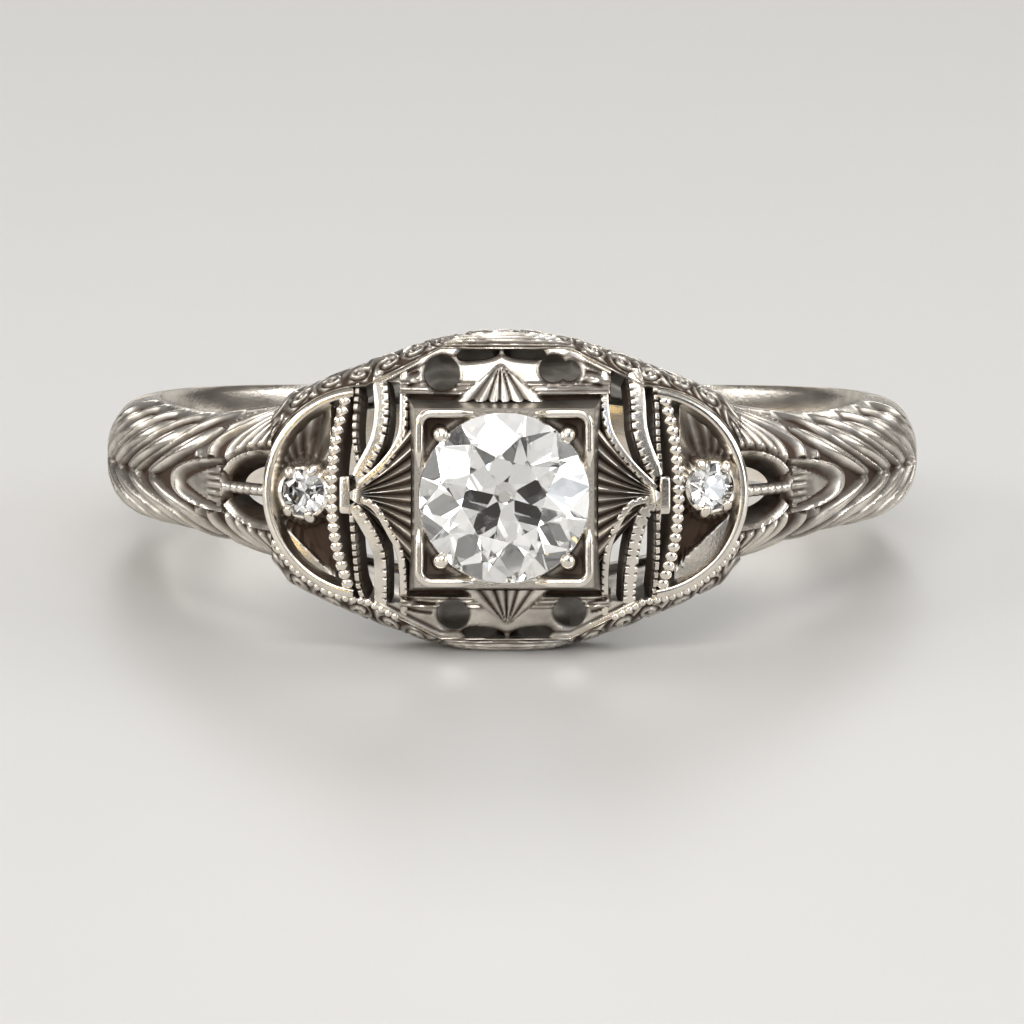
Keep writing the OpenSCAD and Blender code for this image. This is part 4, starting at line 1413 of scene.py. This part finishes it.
def make_box():
    """The square setting: sloped sides, and a top that is hollowed in its four corners and
    coned towards the stone. The top is a level grid, sunk by the deeper of the two."""
    top_half, low_half = 2.08, BOX_HALF + 0.03
    rim_inner, hole_r, deep = 1.86, 1.45, 0.30
    grid = np.arange(-top_half, top_half + 0.02, 0.032)

    def level(x, z):
        """How deep the top lies, and how far a place is into a corner's hollow."""
        radius = np.hypot(x, z)
        corner = smooth(STONE_R - 0.02, STONE_R + 0.06, radius)
        inside = smooth(rim_inner + 0.03, rim_inner - 0.06, np.maximum(abs(x), abs(z)))
        hollow = deep * corner * inside * (1 - 0.4 * bump(radius - top_half, 0.12))
        seat = smooth(STONE_R - 0.02, STONE_R - 0.1, radius) * (0.06 + (STONE_R - radius) * 1.05)
        return np.maximum(hollow, seat), np.clip(hollow / deep, 0, 1)

    def outer(x, z):
        """The setting's top."""
        return np.stack([x, SETTING_Y + level(x, z)[0], z], -1)

    def inner(x, z):
        """The level underside, narrower than the top, so that the sides slope."""
        wide = low_half / top_half
        return np.stack([x * wide, BOX_HIGH[1] + 0.15 + 0 * x, z * wide], -1)

    def field(x, z):
        """Below zero in the round hole under the stone."""
        return np.hypot(x, z) - hole_r

    def recess(x, z):
        """Painted shade: dark corner hollows and a dark hole, and greyed sides."""
        sides = 0.32 * smooth(top_half - 0.06, top_half, np.maximum(abs(x), abs(z)))
        tone = level(x, z)[1] * 0.8 + 0.9 * smooth(STONE_R - 0.1, STONE_R - 0.4, np.hypot(x, z))
        return np.clip(tone + sides, 0, 1)

    sheet = pierced(outer, inner, field, grid, grid, recess, 0.6)
    make("square_setting", [sheet], polished(), ["centre_box"])


def make_corner_rims():
    """Four bright corners on the square: a round-topped wire carried round each corner, which
    stops where the girdle crosses the side."""
    half, corner_r = 1.965, 0.28
    # Where the wires start, from a side's middle, and the length over which their ends taper.
    start_at, taper = 0.72, 0.35
    solids = []
    for sx, sz in ((1, 1), (-1, 1), (-1, -1), (1, -1)):
        turn = np.radians(np.linspace(0, 90, 16))
        bend = np.stack([half - corner_r + corner_r * np.cos(turn),
                         half - corner_r + corner_r * np.sin(turn)], -1)
        start = np.stack([np.full(12, half), np.linspace(start_at, half - corner_r, 12)], -1)
        plan = np.vstack([start[:-1], bend, start[:-1][::-1, ::-1]])
        path = np.stack([plan[:, 0] * sx, np.full(len(plan), SETTING_Y), plan[:, 1] * sz], -1)
        length = np.arange(len(path)) * 0.09
        ends = smooth(0, taper, length) * smooth(0, taper, length[::-1])
        arc = np.radians(np.linspace(0, 180, 9))
        profile = np.stack([0.11 * np.cos(arc), -0.02 + 0.14 * np.sin(arc) ** 0.7], -1)
        profile = np.vstack([profile, [(-0.11, -0.12), (0.11, -0.12)]])
        outline = profile[None] * np.stack([0.35 + 0.65 * ends, 0.3 + 0.7 * ends], -1)[:, None]
        up = np.broadcast_to([0.0, -1, 0], path.shape)
        solids.append(carry(path, up, outline, 0.0))
    make("bright_corner_rims", solids, polished(), ["corner_rims"])


# ---------------------------------------------------------------------------------------------
# The stage

# Distances from the ring's middle, in metres, over which the floor fades into the surround.
FADE_NEAR, FADE_FAR = 0.07, 0.19


def fade_out(tree, place, shader):
    """Lets the floor's shader fade into clear, from near to far from the floor's middle."""
    far = tree.nodes.new("ShaderNodeVectorMath")
    far.operation = "LENGTH"
    link(tree, place, "Object", far, 0)
    fade = tree.nodes.new("ShaderNodeMapRange")
    fade.interpolation_type = "SMOOTHSTEP"
    fade.inputs["From Min"].default_value = FADE_NEAR
    fade.inputs["From Max"].default_value = FADE_FAR
    link(tree, far, "Value", fade, "Value")
    clear = tree.nodes.new("ShaderNodeBsdfTransparent")
    mix = tree.nodes.new("ShaderNodeMixShader")
    link(tree, fade, "Result", mix, 0)
    link(tree, shader, "BSDF", mix, 1)
    link(tree, clear, "BSDF", mix, 2)
    link(tree, mix, "Shader", tree.nodes["Material Output"], "Surface")


def make_camera():
    """The camera, at a distance and an angle from a place a little under the ring's middle."""
    scene = bpy.context.scene
    st = stage_settings()
    data = bpy.data.cameras.new("camera")
    camera = bpy.data.objects.new("camera", data)
    scene.collection.objects.link(camera)
    scene.camera = camera
    back = Vector((math.sin(st.azimuth) * math.cos(st.elevation),
                   -math.cos(st.azimuth) * math.cos(st.elevation), math.sin(st.elevation)))
    camera.location = back * st.distance + Vector((0, 0, -st.aim_drop))
    camera.rotation_mode = "QUATERNION"
    camera.rotation_quaternion = back.to_track_quat("Z", "Y")
    data.sensor_width = 36.0
    data.lens = data.sensor_width * st.distance / st.field
    data.clip_start, data.clip_end = 0.01, 100.0


def make_floor():
    """A pale floor that touches the head's lower edge and the back of the shank."""
    st = stage_settings()
    # Where the floor touches the ring, as (y, z): under the head's widest line, and at the back.
    front = np.array([-10.75, -HEAD_HALF - 0.03]) * MM
    rear = np.array([BACK_Y - 0.25, -BACK_HALF]) * MM
    tilt = math.atan2(rear[1] - front[1], rear[0] - front[0])
    size = 6.0
    mesh = bpy.data.meshes.new("floor")
    corner = np.array([(-size, -size, 0), (size, -size, 0), (size, size, 0), (-size, size, 0)])
    turn = np.array(Matrix.Rotation(tilt, 3, "X"))
    shift = np.array([0, front[0], front[1]])
    mesh.from_pydata(corner @ turn.T + shift, [], [(0, 1, 2, 3)])
    floor = bpy.data.objects.new("floor", mesh)
    bpy.context.scene.collection.objects.link(floor)
    material, tree, shader = new_material("floor_pale")
    shader.inputs["Roughness"].default_value = 0.42
    place = tree.nodes.new("ShaderNodeTexCoord")
    cloud = tree.nodes.new("ShaderNodeTexNoise")
    cloud.inputs["Scale"].default_value = 60.0
    link(tree, place, "Object", cloud, "Vector")
    shade = tree.nodes.new("ShaderNodeMixRGB")
    shade.inputs[1].default_value = (*st.floor_colour, 1)
    shade.inputs[2].default_value = (*[c * 0.97 for c in st.floor_colour], 1)
    link(tree, cloud, "Fac", shade, 0)
    link(tree, shade, "Color", shader, "Base Color")
    fade_out(tree, place, shader)
    mesh.materials.append(material)


# Each lamp: name, place and size in metres, share of the main power, and colour.
LAMPS = (
    ("lamp_top", (0.02, -0.15, 0.25), (0.30, 0.16), 1.3, (1.0, 0.985, 0.96)),
    ("lamp_left", (-0.26, -0.17, 0.09), (0.12, 0.24), 0.85, (1.0, 0.985, 0.95)),
    ("lamp_right", (0.27, -0.14, 0.07), (0.10, 0.22), 0.65, (0.92, 0.96, 1.0)),
    ("lamp_front", (-0.07, -0.29, 0.13), (0.10, 0.08), 0.30, (1.0, 0.97, 0.93)),
    ("lamp_behind", (0.0, -0.60, 0.16), (0.60, 0.40), 1.7, (1.0, 0.985, 0.955)),
    ("lamp_blue", (0.10, -0.26, 0.15), (0.03, 0.03), 0.05, (0.30, 0.50, 1.0)),
    ("lamp_amber", (-0.15, -0.25, 0.02), (0.03, 0.03), 0.05, (1.0, 0.70, 0.25)),
    ("lamp_back", (0.05, 0.26, 0.16), (0.26, 0.08), 0.50, (1.0, 0.99, 0.97)),
    ("lamp_far_left", (-0.30, 0.03, 0.14), (0.20, 0.13), 0.75, (1.0, 0.985, 0.96)),
    ("lamp_far_right", (0.30, 0.03, 0.14), (0.20, 0.13), 0.75, (1.0, 0.985, 0.96)),
)


def make_lamps():
    """Soft lamps that all face the ring."""
    for name, spot, (wide, high), share, colour in LAMPS:
        light = bpy.data.lights.new(name, "AREA")
        light.shape = "RECTANGLE"
        light.size, light.size_y = wide, high
        light.energy = stage_settings().lamp_power * share
        light.color = colour
        lamp = bpy.data.objects.new(name, light)
        bpy.context.scene.collection.objects.link(lamp)
        lamp.location = spot
        lamp.rotation_mode = "QUATERNION"
        lamp.rotation_quaternion = Vector(spot).to_track_quat("Z", "Y")


def make_surround():
    """A pale surround, seen by the metal and the stones as darker below than above."""
    world = bpy.data.worlds.new("surround")
    bpy.context.scene.world = world
    world.use_nodes = True
    tree = world.node_tree
    tree.nodes.clear()
    # Colours that the camera sees, and that the ring sees below and above.
    seen_colour = (0.56, 0.552, 0.54, 1)
    low_colour, high_colour = (0.06, 0.057, 0.053, 1), (0.30, 0.297, 0.295, 1)
    out = tree.nodes.new("ShaderNodeOutputWorld")
    pick = tree.nodes.new("ShaderNodeMixShader")
    seen = tree.nodes.new("ShaderNodeLightPath")
    pale = tree.nodes.new("ShaderNodeBackground")
    pale.inputs["Color"].default_value = seen_colour
    soft = tree.nodes.new("ShaderNodeBackground")
    place = tree.nodes.new("ShaderNodeTexCoord")
    split = tree.nodes.new("ShaderNodeSeparateXYZ")
    link(tree, place, "Generated", split, "Vector")
    ramp = tree.nodes.new("ShaderNodeValToRGB")
    ramp.color_ramp.elements[0].position = 0.18
    ramp.color_ramp.elements[0].color = low_colour
    ramp.color_ramp.elements[1].position = 0.65
    ramp.color_ramp.elements[1].color = high_colour
    link(tree, split, "Z", ramp, "Fac")
    link(tree, ramp, "Color", soft, "Color")
    link(tree, seen, "Is Camera Ray", pick, 0)
    link(tree, soft, "Background", pick, 1)
    link(tree, pale, "Background", pick, 2)
    link(tree, pick, "Shader", out, "Surface")


def make_stage():
    """The camera, the floor, the lamps and the surround, with enough bounces for the stones."""
    make_camera()
    make_floor()
    make_lamps()
    make_surround()
    scene = bpy.context.scene
    scene.view_settings.view_transform = "Standard"
    scene.cycles.max_bounces = 16
    scene.cycles.glossy_bounces = 12
    scene.cycles.transmission_bounces = 16


# ---------------------------------------------------------------------------------------------
# Operators and panel


class RING_OT_stage(bpy.types.Operator):
    """Makes the camera, the floor, the lamps and the surround."""

    bl_idname = "ring.stage"
    bl_label = "Stage"

    def execute(self, context):
        make_stage()
        return {"FINISHED"}


class RING_OT_shank(bpy.types.Operator):
    """Makes the plain back half of the band."""

    bl_idname = "ring.shank"
    bl_label = "Shank"

    def execute(self, context):
        make_shank()
        return {"FINISHED"}


class RING_OT_shoulders(bpy.types.Operator):
    """Makes the two chased shoulders."""

    bl_idname = "ring.shoulders"
    bl_label = "Shoulders"

    def execute(self, context):
        for side in (-1, 1):
            make_shoulder(side)
        return {"FINISHED"}


class RING_OT_rails(bpy.types.Operator):
    """Makes the two rails under the head."""

    bl_idname = "ring.rails"
    bl_label = "Rails"

    def execute(self, context):
        for side in (-1, 1):
            make_rail(side)
        return {"FINISHED"}


class RING_OT_galleries(bpy.types.Operator):
    """Makes the two engraved sides of the head and the grains on its edge."""

    bl_idname = "ring.galleries"
    bl_label = "Galleries"

    def execute(self, context):
        for side in (-1, 1):
            make_gallery(side)
        make_edge_beads()
        return {"FINISHED"}


class RING_OT_top_plates(bpy.types.Operator):
    """Makes the two engraved plates beside the setting."""

    bl_idname = "ring.top_plates"
    bl_label = "Top plates"

    def execute(self, context):
        for side in (-1, 1):
            make_top_plate(side)
        return {"FINISHED"}


class RING_OT_filigree(bpy.types.Operator):
    """Makes the ribs of the four corners, the fans, the collars and the beaded strips."""

    bl_idname = "ring.filigree"
    bl_label = "Filigree"

    def execute(self, context):
        for corner in RIBS:
            make_ribs(corner)
        for side in (-1, 1):
            make_fan(side)
            make_collar(side)
            make_strip(side)
        return {"FINISHED"}


class RING_OT_side_settings(bpy.types.Operator):
    """Makes the floors and rims of the two side settings."""

    bl_idname = "ring.side_settings"
    bl_label = "Side settings"

    def execute(self, context):
        for side in (-1, 1):
            make_seat(side)
            make_rim(side)
        return {"FINISHED"}


class RING_OT_centre_setting(bpy.types.Operator):
    """Makes the square setting and its four bright corners."""

    bl_idname = "ring.centre_setting"
    bl_label = "Centre setting"

    def execute(self, context):
        make_box()
        make_corner_rims()
        return {"FINISHED"}


class RING_OT_beads(bpy.types.Operator):
    """Makes the beads that hold the stones."""

    bl_idname = "ring.beads"
    bl_label = "Beads"

    def execute(self, context):
        make_centre_beads()
        for side in (-1, 1):
            make_side_beads(side)
        return {"FINISHED"}


class RING_OT_stones(bpy.types.Operator):
    """Makes the three stones."""

    bl_idname = "ring.stones"
    bl_label = "Stones"

    def execute(self, context):
        make_centre_diamond()
        for side in (-1, 1):
            make_side_diamond(side)
        return {"FINISHED"}


OPERATORS = (
    RING_OT_stage, RING_OT_shank, RING_OT_shoulders, RING_OT_rails, RING_OT_galleries,
    RING_OT_top_plates, RING_OT_filigree, RING_OT_side_settings, RING_OT_centre_setting,
    RING_OT_beads, RING_OT_stones,
)


class RING_PT_maker(bpy.types.Panel):
    """Lists the ring's pieces, sizes and finishes in the 3D view's sidebar."""

    bl_idname = "RING_PT_maker"
    bl_label = "Filigree ring"
    bl_space_type = "VIEW_3D"
    bl_region_type = "UI"
    bl_category = "Ring"

    def draw(self, context):
        scene = context.scene
        for group in (scene.ring_sizes, scene.ring_finishes, scene.ring_stage):
            box = self.layout.box()
            for name in type(group).__annotations__:
                box.prop(group, name)
        column = self.layout.column(align=True)
        for operator in OPERATORS:
            column.operator(operator.bl_idname)


CLASSES = (RingSizes, RingFinishes, StageSettings, *OPERATORS, RING_PT_maker)


def register():
    """Makes the classes and the scene's settings known."""
    for cls in CLASSES:
        bpy.utils.register_class(cls)
    bpy.types.Scene.ring_sizes = PointerProperty(type=RingSizes)
    bpy.types.Scene.ring_finishes = PointerProperty(type=RingFinishes)
    bpy.types.Scene.ring_stage = PointerProperty(type=StageSettings)


def unregister():
    """Takes the scene's settings and the classes away again."""
    del bpy.types.Scene.ring_stage
    del bpy.types.Scene.ring_finishes
    del bpy.types.Scene.ring_sizes
    for cls in reversed(CLASSES):
        bpy.utils.unregister_class(cls)


def main():
    """Makes the whole ring."""
    register()
    bpy.ops.ring.stage()
    bpy.ops.ring.shank()
    bpy.ops.ring.shoulders()
    bpy.ops.ring.rails()
    bpy.ops.ring.galleries()
    bpy.ops.ring.top_plates()
    bpy.ops.ring.filigree()
    bpy.ops.ring.side_settings()
    bpy.ops.ring.centre_setting()
    bpy.ops.ring.beads()
    bpy.ops.ring.stones()
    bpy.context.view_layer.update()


if __name__ == "__main__":
    main()
